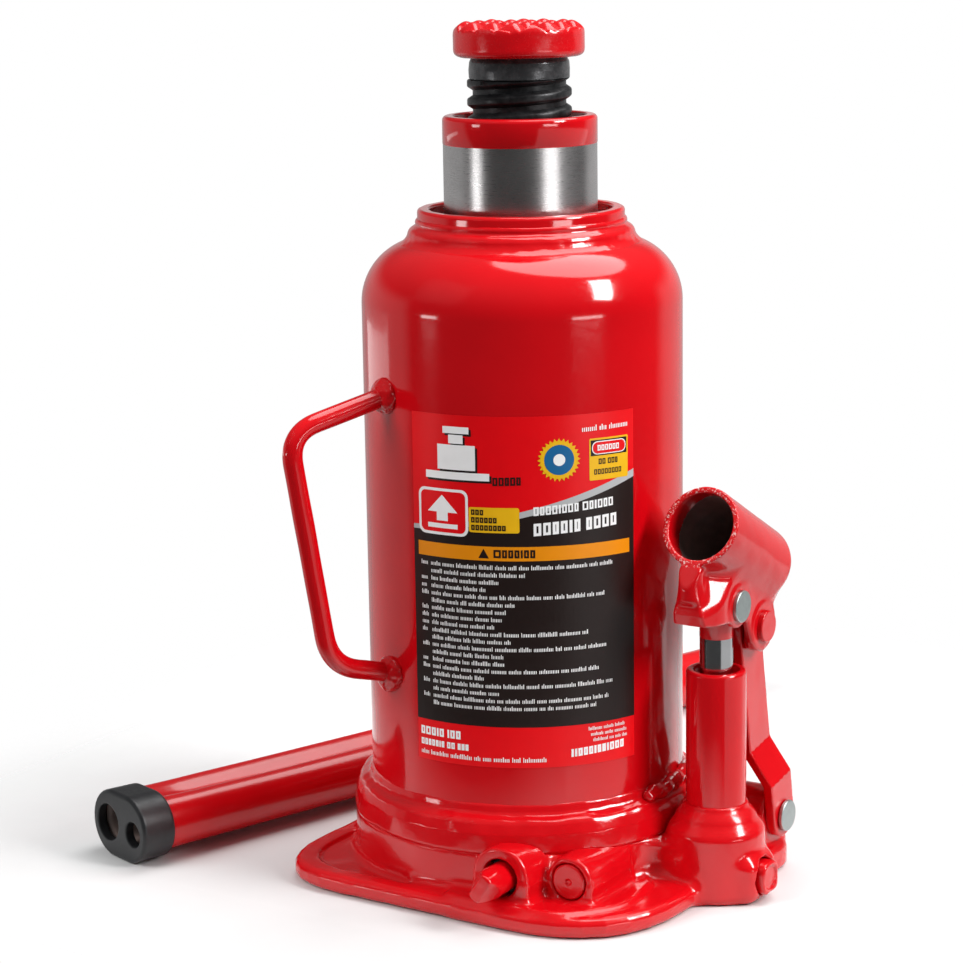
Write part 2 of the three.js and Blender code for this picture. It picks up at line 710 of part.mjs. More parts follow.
// The moulded end cap, with two holes that open into the tube.
function leverCap() {
  const halfWidth = 16.2;
  const radius = leverCapRadius;
  const reach = halfWidth - radius;
  const capsule = (r) => {
    const shape = new THREE.Shape();
    shape.absarc(reach, 0, r, -halfTurn, halfTurn);
    shape.absarc(-reach, 0, r, halfTurn, 3 * halfTurn);
    return shape;
  };
  const floor = 3.4;
  return combine([
    frontPlate(capsule(radius), 1, leverCapLength, 8),
    frontPlate(capsule(radius - 0.9), 0, 1.2, 8),
  ], [
    frontPlate(capsule(radius - 0.75), floor, leverCapLength + 1, 8),
    bar([-6.7, -1, 0], [-6.7, floor + 1, 0], 6.2, 20),
    bar([8.6, -1, -1], [8.6, floor + 1, -1], 4.2, 20),
  ]);
}

// The handle rests on the rim of its cap and on the far end of its tube.
function layOnGround(mesh) {
  const slope = Math.asin((leverCapRadius - leverTubeRadius) / leverLength);
  mesh.position.set(leverStart.x, leverStart.y, leverCapRadius);
  mesh.rotation.set(-slope, 0, leverHeading - halfTurn, 'ZXY');
  return mesh;
}

// ------------------------------------------------------------------ assembly

const fixedParts = assembly(
  piece('base_casting', baseCasting(), redEnamel),
  piece('base_weld_bead', baseWeldBead(), redEnamel),
  piece('reservoir_tank', reservoirTank(), redEnamel),
  piece('top_weld_bead', topWeldBead(), redEnamel),
  piece('top_nut', topNut(), redEnamel),
  piece('ram_wiper', tube(ramRadius + gap, nutMouthRadius - gap, 215.3, 217.6), rubber),
  piece('ram_guide_ring', tube(ramRadius + gap, 27.1, 204.6, 212.7), bronze),
  piece('pressure_cylinder', pressureCylinder(), plainSteel),
  piece('cylinder_gasket', tube(cylinderBore + 0.5, cylinderRadius - 0.5, 13.3, 14), copper),
  piece('carry_handle', carryHandle(), redEnamel),
  piece('handle_weld_upper', handleWeld(164.2, -0.243), redEnamel),
  piece('handle_weld_lower', handleWeld(72, 0.147), redEnamel),
  piece('rating_label', ratingLabel(), labelFilm),
  piece('oil_filler_plug', fillerPlug(), rubber),
  piece('pump_cylinder', pumpCylinder(), redEnamel),
  piece('pump_gasket', tube(6.4, 9.4, 13, 13.7, 24).translate(pumpX, 0, 0), copper),
  piece('side_plug', sidePlug(), redEnamel),
  piece('suction_ball', ball(3, 81, 0, oilwayZ), groundSteel),
  piece('discharge_ball', ball(3, 60, 0, oilwayZ), groundSteel),
  piece('discharge_spring', spring(2.4, 0.7, 14, 5).rotateY(-halfTurn).translate(56, 0, oilwayZ), plainSteel),
  piece('relief_valve_plug', reliefValvePlug(), redEnamel),
  piece('relief_valve_ball', ball(2.5, reliefPlug.x, -31.2, reliefPlug.z), groundSteel),
  piece(
    'relief_valve_spring',
    spring(2.1, 0.6, 5.4, 4).rotateX(halfTurn).translate(reliefPlug.x, -34.2, reliefPlug.z),
    plainSteel,
  ),
  piece('intake_strainer', tube(2.1, 3.6, bossTop + gap, 27, 16).translate(40, 20, 0), plainSteel),
);

const ramParts = assembly(
  piece('ram', ram(), groundSteel),
  piece('piston_guide_ring', tube(13 + gap, 27.6, 43.4, 47.7), bronze),
  piece('piston_cup', turned([[13.3, 38.6], [27.6, 38.6], [27.7, 43.1], [13.3, 43.1]]), rubber),
  piece('piston_nut', pistonNut(), plainSteel),
);

const screwParts = assembly(
  piece('screw_stop_ring', tube(11.3, 16.2, screwBottom - 5, screwBottom - gap, 28), plainSteel),
  piece('extension_screw', extensionScrew(), blackOxide),
  piece('saddle', saddle(), redEnamel),
);

const plungerParts = assembly(
  piece('pump_plunger', plunger(), groundSteel),
  piece(
    'plunger_cup',
    tube(2.7, plungerRadius, plungerBottom - 5, plungerBottom - gap, 20).translate(pumpX, 0, 0),
    rubber,
  ),
);

const socketParts = assembly(
  piece('handle_socket', handleSocket(), redEnamel),
  piece('plunger_pin', headedPin(plungerPin, pumpX + cheekHalfWidth + gap, 1.4), zincPlate),
  piece('plunger_pin_clip', pinClip(plungerPin, pumpX - cheekHalfWidth - gap), zincPlate),
  piece('link_pin', headedPin(linkPin, pumpX + cheekHalfWidth + gap, 1.8), redEnamel),
  piece('link_pin_clip', pinClip(linkPin, pumpX - cheekHalfWidth - gap), zincPlate),
);

const footHalfWidth = linkInnerFoot + linkThickness;

const linkParts = assembly(
  piece('link_plate_right', linkPlate(1), redEnamel),
  piece('link_plate_left', linkPlate(-1), redEnamel),
  piece('fulcrum_pin', headedPin(fulcrum, pumpX + footHalfWidth + gap, 1.4), zincPlate),
  piece('fulcrum_pin_clip', pinClip(fulcrum, pumpX - footHalfWidth - gap), zincPlate),
);

const releaseParts = assembly(
  piece('release_spindle', releaseSpindle(), redEnamel),
  piece('spindle_seal', spindleSeal(), rubber),
  piece('release_ball', ball(2.9, releaseValve.x, -39.1, releaseValve.z), groundSteel),
);

const leverParts = assembly(
  layOnGround(piece('pump_handle_tube', leverTube(), redEnamel)),
  layOnGround(piece('pump_handle_cap', leverCap(), blackPlastic)),
);

const group = assembly(
  fixedParts, ramParts, screwParts, plungerParts, socketParts, linkParts, releaseParts, leverParts,
);
export default group;
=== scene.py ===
"""The looks of a hydraulic bottle jack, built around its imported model.

Shapes are worked out in millimetres in the model's own frame, and stored in metres.
Cast, welded and moulded pieces are skins round distance fields, turned pieces are lathed
outlines with true fillets, and the label's print is thin film on the tank.
"""

import json
import math

import bmesh
import bpy
import numpy as np
from mathutils import Matrix, Vector


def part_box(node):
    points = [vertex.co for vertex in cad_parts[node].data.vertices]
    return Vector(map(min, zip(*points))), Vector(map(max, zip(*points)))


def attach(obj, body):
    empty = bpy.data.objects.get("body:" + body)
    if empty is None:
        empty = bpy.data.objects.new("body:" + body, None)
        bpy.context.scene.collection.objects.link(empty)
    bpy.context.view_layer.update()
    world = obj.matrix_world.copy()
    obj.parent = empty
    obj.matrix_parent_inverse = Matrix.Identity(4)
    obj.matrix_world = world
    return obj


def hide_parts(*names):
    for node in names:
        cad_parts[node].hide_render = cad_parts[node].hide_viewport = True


MM = 0.001
TURN = 2 * math.pi

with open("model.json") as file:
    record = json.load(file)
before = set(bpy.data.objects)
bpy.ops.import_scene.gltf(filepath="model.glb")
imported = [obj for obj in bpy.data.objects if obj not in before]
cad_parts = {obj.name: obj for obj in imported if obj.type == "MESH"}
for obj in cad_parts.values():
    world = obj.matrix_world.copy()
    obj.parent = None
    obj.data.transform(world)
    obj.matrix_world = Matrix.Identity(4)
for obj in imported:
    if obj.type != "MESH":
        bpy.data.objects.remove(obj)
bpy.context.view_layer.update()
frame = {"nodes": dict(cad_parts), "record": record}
coarse = 1.0


def corners(node):
    """The lowest and highest corners of a CAD node, in millimetres."""
    low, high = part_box(node)
    return np.array(low) / MM, np.array(high) / MM


def middle(node):
    low, high = corners(node)
    return (low + high) / 2


# ------------------------------------------------------- driving dimensions

TANK_RADIUS = corners("reservoir_tank")[1][0]
TANK_FOOT = corners("reservoir_tank")[0][2]
TANK_TOP = 211.0
TANK_SHOULDER = 20.5
TANK_WALL = 3.0
COLLAR_RADIUS = 33.8
COLLAR_TOP = corners("top_nut")[1][2]
COLLAR_MOUTH = 29.8
RAM_RADIUS = corners("ram")[1][0]
RAM_FOOT, RAM_TOP = corners("ram")[0][2], corners("ram")[1][2]
RAM_PAINT = 241.5  # above this height the ram is painted
RAM_BORE = 17.3
SADDLE_RADIUS = corners("saddle")[1][0]
SADDLE_FOOT, SADDLE_TOP = corners("saddle")[0][2], corners("saddle")[1][2]
SCREW_FOOT = corners("extension_screw")[0][2]
THREAD_CREST, THREAD_ROOT, THREAD_PITCH = 16.9, 15.1, 6.0
NECK_RADIUS, NECK_HEIGHT = 16.2, 7.1
BASE_LOW, BASE_HIGH = corners("base_casting")
BOSS_RADIUS, BOSS_TOP = 58.3, 20.0
PLATE_TOP = 6.5
PUMP_X = middle("pump_cylinder")[0]
PUMP_RADIUS = 9.8
PUMP_FOOT, PUMP_TOP = corners("pump_cylinder")[0][2], corners("pump_cylinder")[1][2]
PLUNGER_RADIUS = 5.4
CHAMBER_FLOOR = 6.0
PLUNGER_PAINT = 86.0
PIN_RADIUS, PIN_HEAD = 3.5, 5.2
PLUNGER_PIN = middle("plunger_pin")
LINK_PIN = middle("link_pin")
FULCRUM = middle("fulcrum_pin")
CHEEK = 8.2  # half the width of the clevis
SOCKET_TILT = math.radians(28.5)
SOCKET_AHEAD = np.array([0, -math.cos(SOCKET_TILT), math.sin(SOCKET_TILT)])
SOCKET_MOUTH = np.array([PUMP_X, -11.2, 124.5])
SOCKET_LENGTH, SOCKET_RADIUS, SOCKET_BORE = 47.5, 13.2, 11.1
LINK_WIDTH, LINK_THICKNESS = 14.6, 3.3
LINK_TOP_X, LINK_FOOT_X = 0.2, 7.0
LUG_HALF = LINK_FOOT_X - 0.3
RELEASE = middle("release_spindle")
RELEASE_FRONT = corners("release_spindle")[0][1]
RELIEF = middle("relief_valve_plug")
ROD_RADIUS = 3.2
ROD_HEADING = math.radians(245)
LEVER_HEADING = math.radians(72.9)
LEVER_LENGTH = 300.0
LEVER_CAP_LENGTH = 13.0
LEVER_CAP_RADIUS = 11.8
LEVER_TUBE_RADIUS = 10.5
LEVER_START = np.array([-116.6, -76.9, LEVER_CAP_RADIUS])
LABEL_HEADING = math.radians(-58.5)
LABEL_HALF = math.radians(41.5)
LABEL_FOOT, LABEL_TOP = corners("rating_label")[0][2], corners("rating_label")[1][2]


# ------------------------------------------------------------ distance fields


def reach(vectors):
    return np.sqrt((vectors * vectors).sum(-1))


def rounded(distances, edge):
    """Joins distances to a solid's faces into one, with its edges rounded."""
    q = np.stack(distances, -1) + edge
    return reach(np.maximum(q, 0)) + np.minimum(q.max(-1), 0) - edge


def box(p, low, high, edge=0.0):
    low, high = np.array(low, float), np.array(high, float)
    sides = np.abs(p - (low + high) / 2) - (high - low) / 2
    return rounded([sides[:, 0], sides[:, 1], sides[:, 2]], edge)


def rod(p, start, end, radius, edge=0.0):
    start = np.array(start, float)
    way = np.array(end, float) - start
    length = np.linalg.norm(way)
    unit = way / length
    from_start = p - start
    along = from_start @ unit
    across = reach(from_start - along[:, None] * unit)
    return rounded([across - radius, np.abs(along - length / 2) - length / 2], edge)


def ball(p, centre, radius):
    return reach(p - np.array(centre, float)) - radius


def outline_distance(x, y, points):
    """How far points of the plane are outside a closed outline."""
    inside = np.zeros(x.shape, bool)
    nearest = np.full(x.shape, np.inf)
    for (ax, ay), (bx, by) in zip(points, [*points[1:], points[0]]):
        ex, ey = bx - ax, by - ay
        t = np.clip(((x - ax) * ex + (y - ay) * ey) / (ex * ex + ey * ey), 0, 1)
        nearest = np.minimum(nearest, (x - ax - t * ex) ** 2 + (y - ay - t * ey) ** 2)
        if ay != by:
            inside ^= ((ay > y) != (by > y)) & (x < ex * (y - ay) / ey + ax)
    return np.where(inside, -1, 1) * np.sqrt(nearest)


def prism(p, plane, points, low, high, edge=0.0):
    """An outline drawn in two of the axes, extruded along the third."""
    a, b = plane
    c = 3 - a - b
    flat = outline_distance(p[:, a], p[:, b], points)
    return rounded([flat, np.abs(p[:, c] - (low + high) / 2) - (high - low) / 2], edge)


def join(a, b, fillet):
    h = np.maximum(fillet - np.abs(a - b), 0) / fillet
    return np.minimum(a, b) - h * h * fillet / 4


def cut(a, b, fillet):
    return -join(-a, b, fillet)


def common(a, b, fillet):
    return -join(-a, -b, fillet)


def waves(p, size, seed):
    """Smooth irregular waves between about -1 and 1, with humps about size millimetres apart."""
    rng = np.random.default_rng(seed)
    count = 7
    ways = rng.normal(size=(count, 3))
    ways *= (TURN / size) * rng.uniform(0.6, 1.3, (count, 1)) / np.linalg.norm(ways, axis=1)[:, None]
    phases = rng.uniform(0, TURN, count)
    return np.sin(p @ ways.T + phases).sum(-1) / (count / 2)


def bent(points):
    """A closed outline whose corners [x, y, reach] are drawn as smooth bends."""
    result = []
    for i, (x, y, size) in enumerate(points):
        here = np.array([x, y], float)
        before = np.array(points[i - 1][:2], float) - here
        after = np.array(points[(i + 1) % len(points)][:2], float) - here
        enter = here + before / np.linalg.norm(before) * size
        leave = here + after / np.linalg.norm(after) * size
        for t in np.linspace(0, 1, 9 if size else 1):
            result.append(tuple((1 - t) ** 2 * enter + 2 * t * (1 - t) * here + t * t * leave))
    return result


def gradient(distance, p, step=0.05):
    slope = np.stack([distance(p + step * e) - distance(p - step * e) for e in np.eye(3)], -1)
    return slope / np.maximum(reach(slope), 1e-9)[:, None]


def skin(distance, low, high, cell):
    """Vertices, faces and normals of the surface where a distance field is nought."""
    cell = cell * coarse
    axes = [np.arange(a - 2.5 * cell, b + 3 * cell, cell) for a, b in zip(low, high)]
    shape = tuple(len(a) for a in axes)
    grid = np.stack(np.meshgrid(*axes, indexing="ij"), -1).reshape(-1, 3)
    value = distance(grid).reshape(shape)
    inside = value < 0
    size = np.array(shape) - 1

    def corner(offset):
        return value[tuple(slice(o, o + n) for o, n in zip(offset, size))]

    total = np.zeros((*size, 3))
    count = np.zeros(size)
    for axis in range(3):
        for u in (0, 1):
            for v in (0, 1):
                start = np.zeros(3, int)
                start[(axis + 1) % 3] = u
                start[(axis + 2) % 3] = v
                end = start.copy()
                end[axis] = 1
                a, b = corner(start), corner(end)
                crossed = (a < 0) != (b < 0)
                points = np.tile(start.astype(float), (crossed.sum(), 1))
                points[:, axis] = a[crossed] / (a[crossed] - b[crossed])
                total[crossed] += points
                count[crossed] += 1
    active = count > 0
    number = np.full(size, -1)
    number[active] = np.arange(active.sum())
    origin = np.array([a[0] for a in axes])
    vertices = (np.argwhere(active) + total[active] / count[active][:, None]) * cell + origin
    faces = []
    for axis in range(3):
        u, v = (axis + 1) % 3, (axis + 2) % 3
        first = [slice(1, -1)] * 3
        second = [slice(1, -1)] * 3
        first[axis], second[axis] = slice(0, -1), slice(1, None)
        near, far = inside[tuple(first)], inside[tuple(second)]
        edges = np.argwhere(near != far)
        outwards = near[tuple(edges.T)]
        edges[:, [u, v]] += 1
        ring = []
        for du, dv in ((1, 1), (0, 1), (0, 0), (1, 0)):
            cells = edges.copy()
            cells[:, u] -= du
            cells[:, v] -= dv
            ring.append(number[tuple(cells.T)])
        quads = np.stack(ring, 1)
        quads[~outwards] = quads[~outwards][:, ::-1]
        faces.append(quads)
    for _ in range(3):  # slides the points onto the surface itself
        step = np.clip(distance(vertices), -cell, cell)
        vertices -= gradient(distance, vertices) * step[:, None]
    return vertices, np.concatenate(faces).tolist(), gradient(distance, vertices)


# ------------------------------------------------------------- turned shapes


def filleted(points, steps):
    """A counter-clockwise outline of (radius, height, fillet), as points and outward normals."""
    result = []
    for i, (r, z, fillet) in enumerate(points):
        here = np.array([r, z], float)
        before = here - np.array(points[i - 1][:2], float)
        after = np.array(points[(i + 1) % len(points)][:2], float) - here
        room = min(np.linalg.norm(before), np.linalg.norm(after))
        before, after = before / np.linalg.norm(before), after / np.linalg.norm(after)
        bend = math.atan2(before[0] * after[1] - before[1] * after[0], before @ after)
        if fillet == 0 or abs(bend) < 1e-3:
            # a sharp corner faces as the side before it does, unless that side runs along the axis
            edge = after if r == 0 and points[i - 1][0] == 0 else before
            result.append((here, edge[[1, 0]] * [1, -1]))
            continue
        # a small fillet leaves room for its neighbour's, and a large one may take the whole side
        tangent = min(fillet * math.tan(abs(bend) / 2), 0.5 * room if fillet < 5 else room)
        fillet = tangent / math.tan(abs(bend) / 2)
        side = math.copysign(1, bend)
        centre = here - before * tangent + side * fillet * np.array([-before[1], before[0]])
        spoke = here - before * tangent - centre
        for k in range(steps + 1):
            turn = bend * k / steps
            c, s = math.cos(turn), math.sin(turn)
            arm = np.array([c * spoke[0] - s * spoke[1], s * spoke[0] + c * spoke[1]])
            result.append((centre + arm, arm / fillet * side))
    return [a for a, _ in result], [b for _, b in result]


def turned(points, segments=96, steps=5, centre=(0, 0)):
    """Turns an outline about an upright axis. It closes on itself or starts and ends on the axis."""
    profile, slopes = filleted(points, steps)
    angles = np.linspace(0, TURN, segments, endpoint=False)
    around = np.stack([np.cos(angles), np.sin(angles)], -1)
    vertices, normals, rings = [], [], []
    for (r, z), (nr, nz) in zip(profile, slopes):
        first = len(vertices)
        if r < 1e-6:
            vertices.append((centre[0], centre[1], z))
            normals.append((0, 0, math.copysign(1, nz)))
            rings.append([first] * segments)
            continue
        vertices += [(centre[0] + r * c, centre[1] + r * s, z) for c, s in around]
        normals += [(nr * c, nr * s, nz) for c, s in around]
        rings.append(list(range(first, first + segments)))
    faces = []
    for a, b in zip(rings, rings[1:] + rings[:1]):
        if a[0] == a[1] and b[0] == b[1]:
            continue
        for k in range(segments):
            n = (k + 1) % segments
            faces.append(list(dict.fromkeys([a[k], a[n], b[n], b[k]])))
    return np.array(vertices), faces, np.array(normals)


def moved(shape, matrix):
    """A shape with its points and normals turned and shifted by a 4 x 4 matrix."""
    vertices, faces, normals = shape
    m = np.array(matrix)
    if normals is not None:
        normals = normals @ m[:3, :3].T
    return vertices @ m[:3, :3].T + m[:3, 3], faces, normals


def lumpy(shape, *layers):
    """Displaces a shape along its normals in layers of smooth lumps of (size, height, seed)."""
    vertices, faces, normals = shape
    lumps = sum(waves(vertices, size, seed) * height for size, height, seed in layers)
    return vertices + normals * lumps[:, None], faces, None


def lies_along(axis, at):
    """A matrix that lays a shape turned about Z along another direction."""
    return Matrix.Translation(Vector(at)) @ Vector(axis).to_track_quat("Z", "Y").to_matrix().to_4x4()


# ------------------------------------------------------------------ materials


class Shader:
    """A Principled material and the few nodes that its looks are made of."""

    def __init__(self, name, roughness=0.4, metallic=0.0, coat=0.0, coat_roughness=0.05, specular=0.5):
        self.material = bpy.data.materials.new(name)
        self.material.use_nodes = True
        self.tree = self.material.node_tree
        self.surface = self.tree.nodes["Principled BSDF"]
        self.surface.inputs["Roughness"].default_value = roughness
        self.surface.inputs["Metallic"].default_value = metallic
        self.surface.inputs["Coat Weight"].default_value = coat
        self.surface.inputs["Coat Roughness"].default_value = coat_roughness
        self.surface.inputs["Specular IOR Level"].default_value = specular
        self.place = self.node("ShaderNodeTexCoord").outputs["Object"]

    def node(self, kind, **settings):
        made = self.tree.nodes.new(kind)
        for key, value in settings.items():
            setattr(made, key, value)
        return made

    def link(self, source, target):
        self.tree.links.new(source, target)

    def noise(self, size, detail=3.0, stretch=(1, 1, 1), rough=0.5):
        """Noise whose features are about size millimetres across."""
        scale = self.node("ShaderNodeMapping")
        scale.inputs["Scale"].default_value = stretch
        self.link(self.place, scale.inputs["Vector"])
        noise = self.node("ShaderNodeTexNoise")
        noise.inputs["Scale"].default_value = 1 / (size * MM)
        noise.inputs["Detail"].default_value = detail
        noise.inputs["Roughness"].default_value = rough
        self.link(scale.outputs["Vector"], noise.inputs["Vector"])
        return noise.outputs["Fac"]

    def graded(self, factor, low, high, start=0.3, end=0.7):
        """A value or colour that runs from low to high as a factor does from start to end."""
        ramp = self.node("ShaderNodeMapRange", data_type="FLOAT")
        ramp.inputs["From Min"].default_value = start
        ramp.inputs["From Max"].default_value = end
        self.link(factor, ramp.inputs["Value"])
        if np.isscalar(low):
            ramp.inputs["To Min"].default_value = low
            ramp.inputs["To Max"].default_value = high
            return ramp.outputs["Result"]
        mix = self.node("ShaderNodeMix", data_type="RGBA")
        self.link(ramp.outputs["Result"], mix.inputs["Factor"])
        mix.inputs["A"].default_value = (*low, 1)
        mix.inputs["B"].default_value = (*high, 1)
        return mix.outputs["Result"]

    def colour(self, socket):
        self.link(socket, self.surface.inputs["Base Color"])

    def roughness(self, socket):
        self.link(socket, self.surface.inputs["Roughness"])

    def bumps(self, *layers):
        """Bumps of (height socket, depth in millimetres), laid over one another."""
        previous = None
        for height, depth in layers:
            bump = self.node("ShaderNodeBump")
            bump.inputs["Strength"].default_value = 1
            bump.inputs["Distance"].default_value = depth * MM
            self.link(height, bump.inputs["Height"])
            if previous:
                self.link(previous, bump.inputs["Normal"])
            previous = bump.outputs["Normal"]
        self.link(previous, self.surface.inputs["Normal"])
        if self.surface.inputs["Coat Weight"].default_value > 0:
            self.link(previous, self.surface.inputs["Coat Normal"])


RED = (0.62, 0.002, 0.006)
RED_DEEP = (0.56, 0.0015, 0.005)


def enamel(name, sag, grain, gloss=0.08, mottle=1.9):
    """Thick glossy enamel. sag is how far it waves, in millimetres, grain its orange peel, and mottle
    how many times rougher its dullest specks are than its glossiest."""
    paint = Shader(name, roughness=gloss, coat=0.3, coat_roughness=gloss * 0.4)
    broad = paint.noise(26, detail=2)
    fine = paint.noise(0.9, detail=2)
    paint.colour(paint.graded(broad, RED_DEEP, RED))
    paint.roughness(paint.graded(fine, gloss, gloss * mottle))
    paint.bumps((paint.noise(7, detail=1), sag), (paint.noise(1.6, detail=2), grain))
    return paint.material


def bright_steel(name, colour, roughness):
    """Ground steel, whose gloss varies a little in fine rings."""
    steel = Shader(name, roughness=roughness, metallic=1)
    rings = steel.noise(1.0, detail=3, stretch=(0.3, 0.3, 12), rough=0.6)
    stain = steel.noise(9, detail=3)
    steel.colour(steel.graded(stain, tuple(c * 0.86 for c in colour), colour))
    steel.roughness(steel.graded(rings, roughness * 0.92, roughness * 1.1))
    steel.bumps((steel.noise(3, detail=1, stretch=(0.3, 0.3, 4)), 0.00015))
    return steel.material


def plated(name, colour, roughness, mottle=2.5):
    """Dull plated or plain metal with faint mottling."""
    metal = Shader(name, roughness=roughness, metallic=1)
    spots = metal.noise(mottle, detail=5, rough=0.65)
    metal.colour(metal.graded(spots, tuple(c * 0.8 for c in colour), colour))
    metal.roughness(metal.graded(spots, roughness * 0.8, roughness * 1.25))
    metal.bumps((metal.noise(0.5, detail=2), 0.006))
    return metal.material


def blackened(name, colour, bright, roughness):
    """Oiled black oxide steel, worn a little brighter in patches."""
    metal = Shader(name, roughness=roughness, metallic=0.55)
    wear = metal.noise(4, detail=6, rough=0.7)
    metal.colour(metal.graded(wear, colour, bright, 0.42, 0.78))
    metal.roughness(metal.graded(metal.noise(1.5, detail=4), roughness * 0.8, roughness * 1.4))
    metal.bumps((metal.noise(0.7, detail=3), 0.02), (wear, 0.03))
    return metal.material


def moulded(name, colour, roughness, grain, depth):
    """Rubber or plastic with a fine moulded grain."""
    stuff = Shader(name, roughness=roughness)
    spots = stuff.noise(grain * 5, detail=4)
    stuff.colour(stuff.graded(spots, tuple(c * 0.8 for c in colour), tuple(c * 1.2 for c in colour)))
    stuff.roughness(stuff.graded(spots, roughness * 0.85, roughness * 1.15))
    stuff.bumps((stuff.noise(grain, detail=3), depth))
    return stuff.material


def printed(name, colour):
    """Printed film, a little less glossy than the paint."""
    film = Shader(name, roughness=0.32, specular=0.35)
    spots = film.noise(5, detail=3)
    film.colour(film.graded(spots, tuple(c * 0.96 for c in colour), colour))
    film.roughness(film.graded(film.noise(1.5), 0.28, 0.36))
    return film.material


def chipped_with_glints(name):
    """Enamel chipped in small flecks, painted pale so that they are partly chips and partly painted
    glints.
    """
    paint = Shader(name, roughness=0.14, coat=0.3, coat_roughness=0.03)
    flecks = paint.noise(0.8, detail=5, rough=0.7)
    paint.colour(paint.graded(flecks, RED, (0.8, 0.62, 0.6), 0.55, 0.62))
    paint.roughness(paint.graded(flecks, 0.12, 0.3, 0.5, 0.6))
    paint.bumps((flecks, 0.12))
    return paint.material


smooth_enamel = enamel("smooth_enamel", 0.03, 0.0035)
cast_enamel = enamel("cast_enamel", 0.11, 0.03, 0.13)
weld_enamel = enamel("weld_enamel", 0.16, 0.045, 0.1)
saddle_enamel = enamel("saddle_enamel", 0.05, 0.012, 0.16)
lever_enamel = enamel("lever_enamel", 0.03, 0.0012, 0.21, mottle=1.12)
ram_steel = bright_steel("ram_steel", (0.64, 0.62, 0.62), 0.28)
plunger_steel = bright_steel("plunger_steel", (0.6, 0.61, 0.62), 0.14)
plain_steel = plated("plain_steel", (0.42, 0.43, 0.45), 0.38)
zinc = plated("zinc_plate", (0.52, 0.58, 0.57), 0.42, mottle=1.6)
thread_black = blackened("thread_black", (0.012, 0.012, 0.013), (0.05, 0.05, 0.052), 0.34)
neck_black = blackened("neck_black", (0.06, 0.06, 0.063), (0.16, 0.16, 0.165), 0.2)
bronze = plated("bronze", (0.5, 0.33, 0.12), 0.35)
copper = plated("copper", (0.6, 0.28, 0.17), 0.3)
rubber = moulded("rubber", (0.02, 0.02, 0.02), 0.6, 0.5, 0.02)
cap_plastic = moulded("cap_plastic", (0.013, 0.0135, 0.015), 0.4, 0.35, 0.008)
# painted shade: a dark brown standing for the shade inside the socket's bore and inside the handle's tube
painted_shade_bore = moulded("painted_shade_bore", (0.2, 0.15, 0.135), 0.6, 0.8, 0.05)
# pale flecks on the socket's mouth: partly chipped paint, partly painted glints
chips_and_glints_rim = chipped_with_glints("chips_and_glints_rim")


# --------------------------------------------------------------------- pieces


def add(name, shape, materials, body, nodes, choose=None):
    """Makes a piece of a shape. choose gives each face's material from the faces' middles."""
    vertices, faces, normals = shape
    mesh = bpy.data.meshes.new(name)
    mesh.from_pydata((vertices * MM).tolist(), [], faces)
    mesh.shade_smooth()
    if normals is not None:
        mesh.normals_split_custom_set_from_vertices(normals.tolist())
    for material in materials:
        mesh.materials.append(material)
    if choose:
        centres = np.zeros(len(mesh.polygons) * 3)
        mesh.polygons.foreach_get("center", centres)
        mesh.polygons.foreach_set("material_index", choose(centres.reshape(-1, 3) / MM).astype(int))
    piece = bpy.data.objects.new(name, mesh)
    bpy.context.scene.collection.objects.link(piece)
    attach(piece, body)
    if nodes:
        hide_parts(*nodes)
    return piece


def foot_plate(p):
    """The plate with its shallow pocket, the pad under the valves and the neck that runs to the pump."""
    left, front = BASE_LOW[0], BASE_LOW[1]
    right, back = PUMP_X + 2, BASE_HIGH[1]
    plate = bent([[left, front, 28], [right, front, 44], [right, back, 38], [left, back, 28]])
    shape = prism(p, (0, 1), plate, 0, PLATE_TOP, 2.6)
    rim = 7.5
    pocket = bent([
        [left + rim, front + rim, 22], [6, front + rim, 5], [12, -30, 4], [-30, 20, 4],
        [left + rim, 34, 12],
    ])
    shape = cut(shape, prism(p, (0, 1), pocket, PLATE_TOP - 1.5, PLATE_TOP + 4, 1), 1.6)
    pad = bent([[7, front + 1.5, 5], [50, front + 3, 12], [64, -44, 8], [60, -20, 4], [10, -20, 4]])
    shape = join(shape, prism(p, (0, 1), pad, 0, PLATE_TOP + 1.4, 1.5), 2)
    neck = [(30, -26), (60, -15), (PUMP_X, -13), (PUMP_X, 13), (60, 15), (30, 32)]
    return join(shape, prism(p, (0, 1), neck, 0, 19, 2), 7)


def pump_boss(p):
    """Three round steps under the pump tube."""
    low, middle_step, high = [
        rod(p, (PUMP_X, 0, 0), (PUMP_X, 0, height), radius, edge)
        for height, radius, edge in ((24.5, 16, 3.2), (28.8, 13, 2.4), (31.2, 10.4, 0.5))
    ]
    return join(low, join(middle_step, high, 3), 4)


def fulcrum_lug(p):
    """The upright eye that the two straps swing on."""
    y, z = FULCRUM[1:]
    eye = rod(p, (PUMP_X - LUG_HALF, y, z), (PUMP_X + LUG_HALF, y, z), 9, 0.8)
    stem = box(p, (PUMP_X - LUG_HALF, 6, 2), (PUMP_X + LUG_HALF, y + 8.6, z), 0.8)
    return join(eye, stem, 2)


def valve_boss(p, at, half, face, depth):
    """An arch round a valve, whose top slopes down from its front face."""
    x, _, z = at
    tunnel = rod(p, (x, face, z), (x, face + depth, z), half, 1.3)
    legs = box(p, (x - half, face, 0.8), (x + half, face + depth, z), 1.3)
    roof = p[:, 2] + (p[:, 1] - face) * 0.12 - (z + half + 0.4)
    return common(join(tunnel, legs, 1.2), roof, 2)


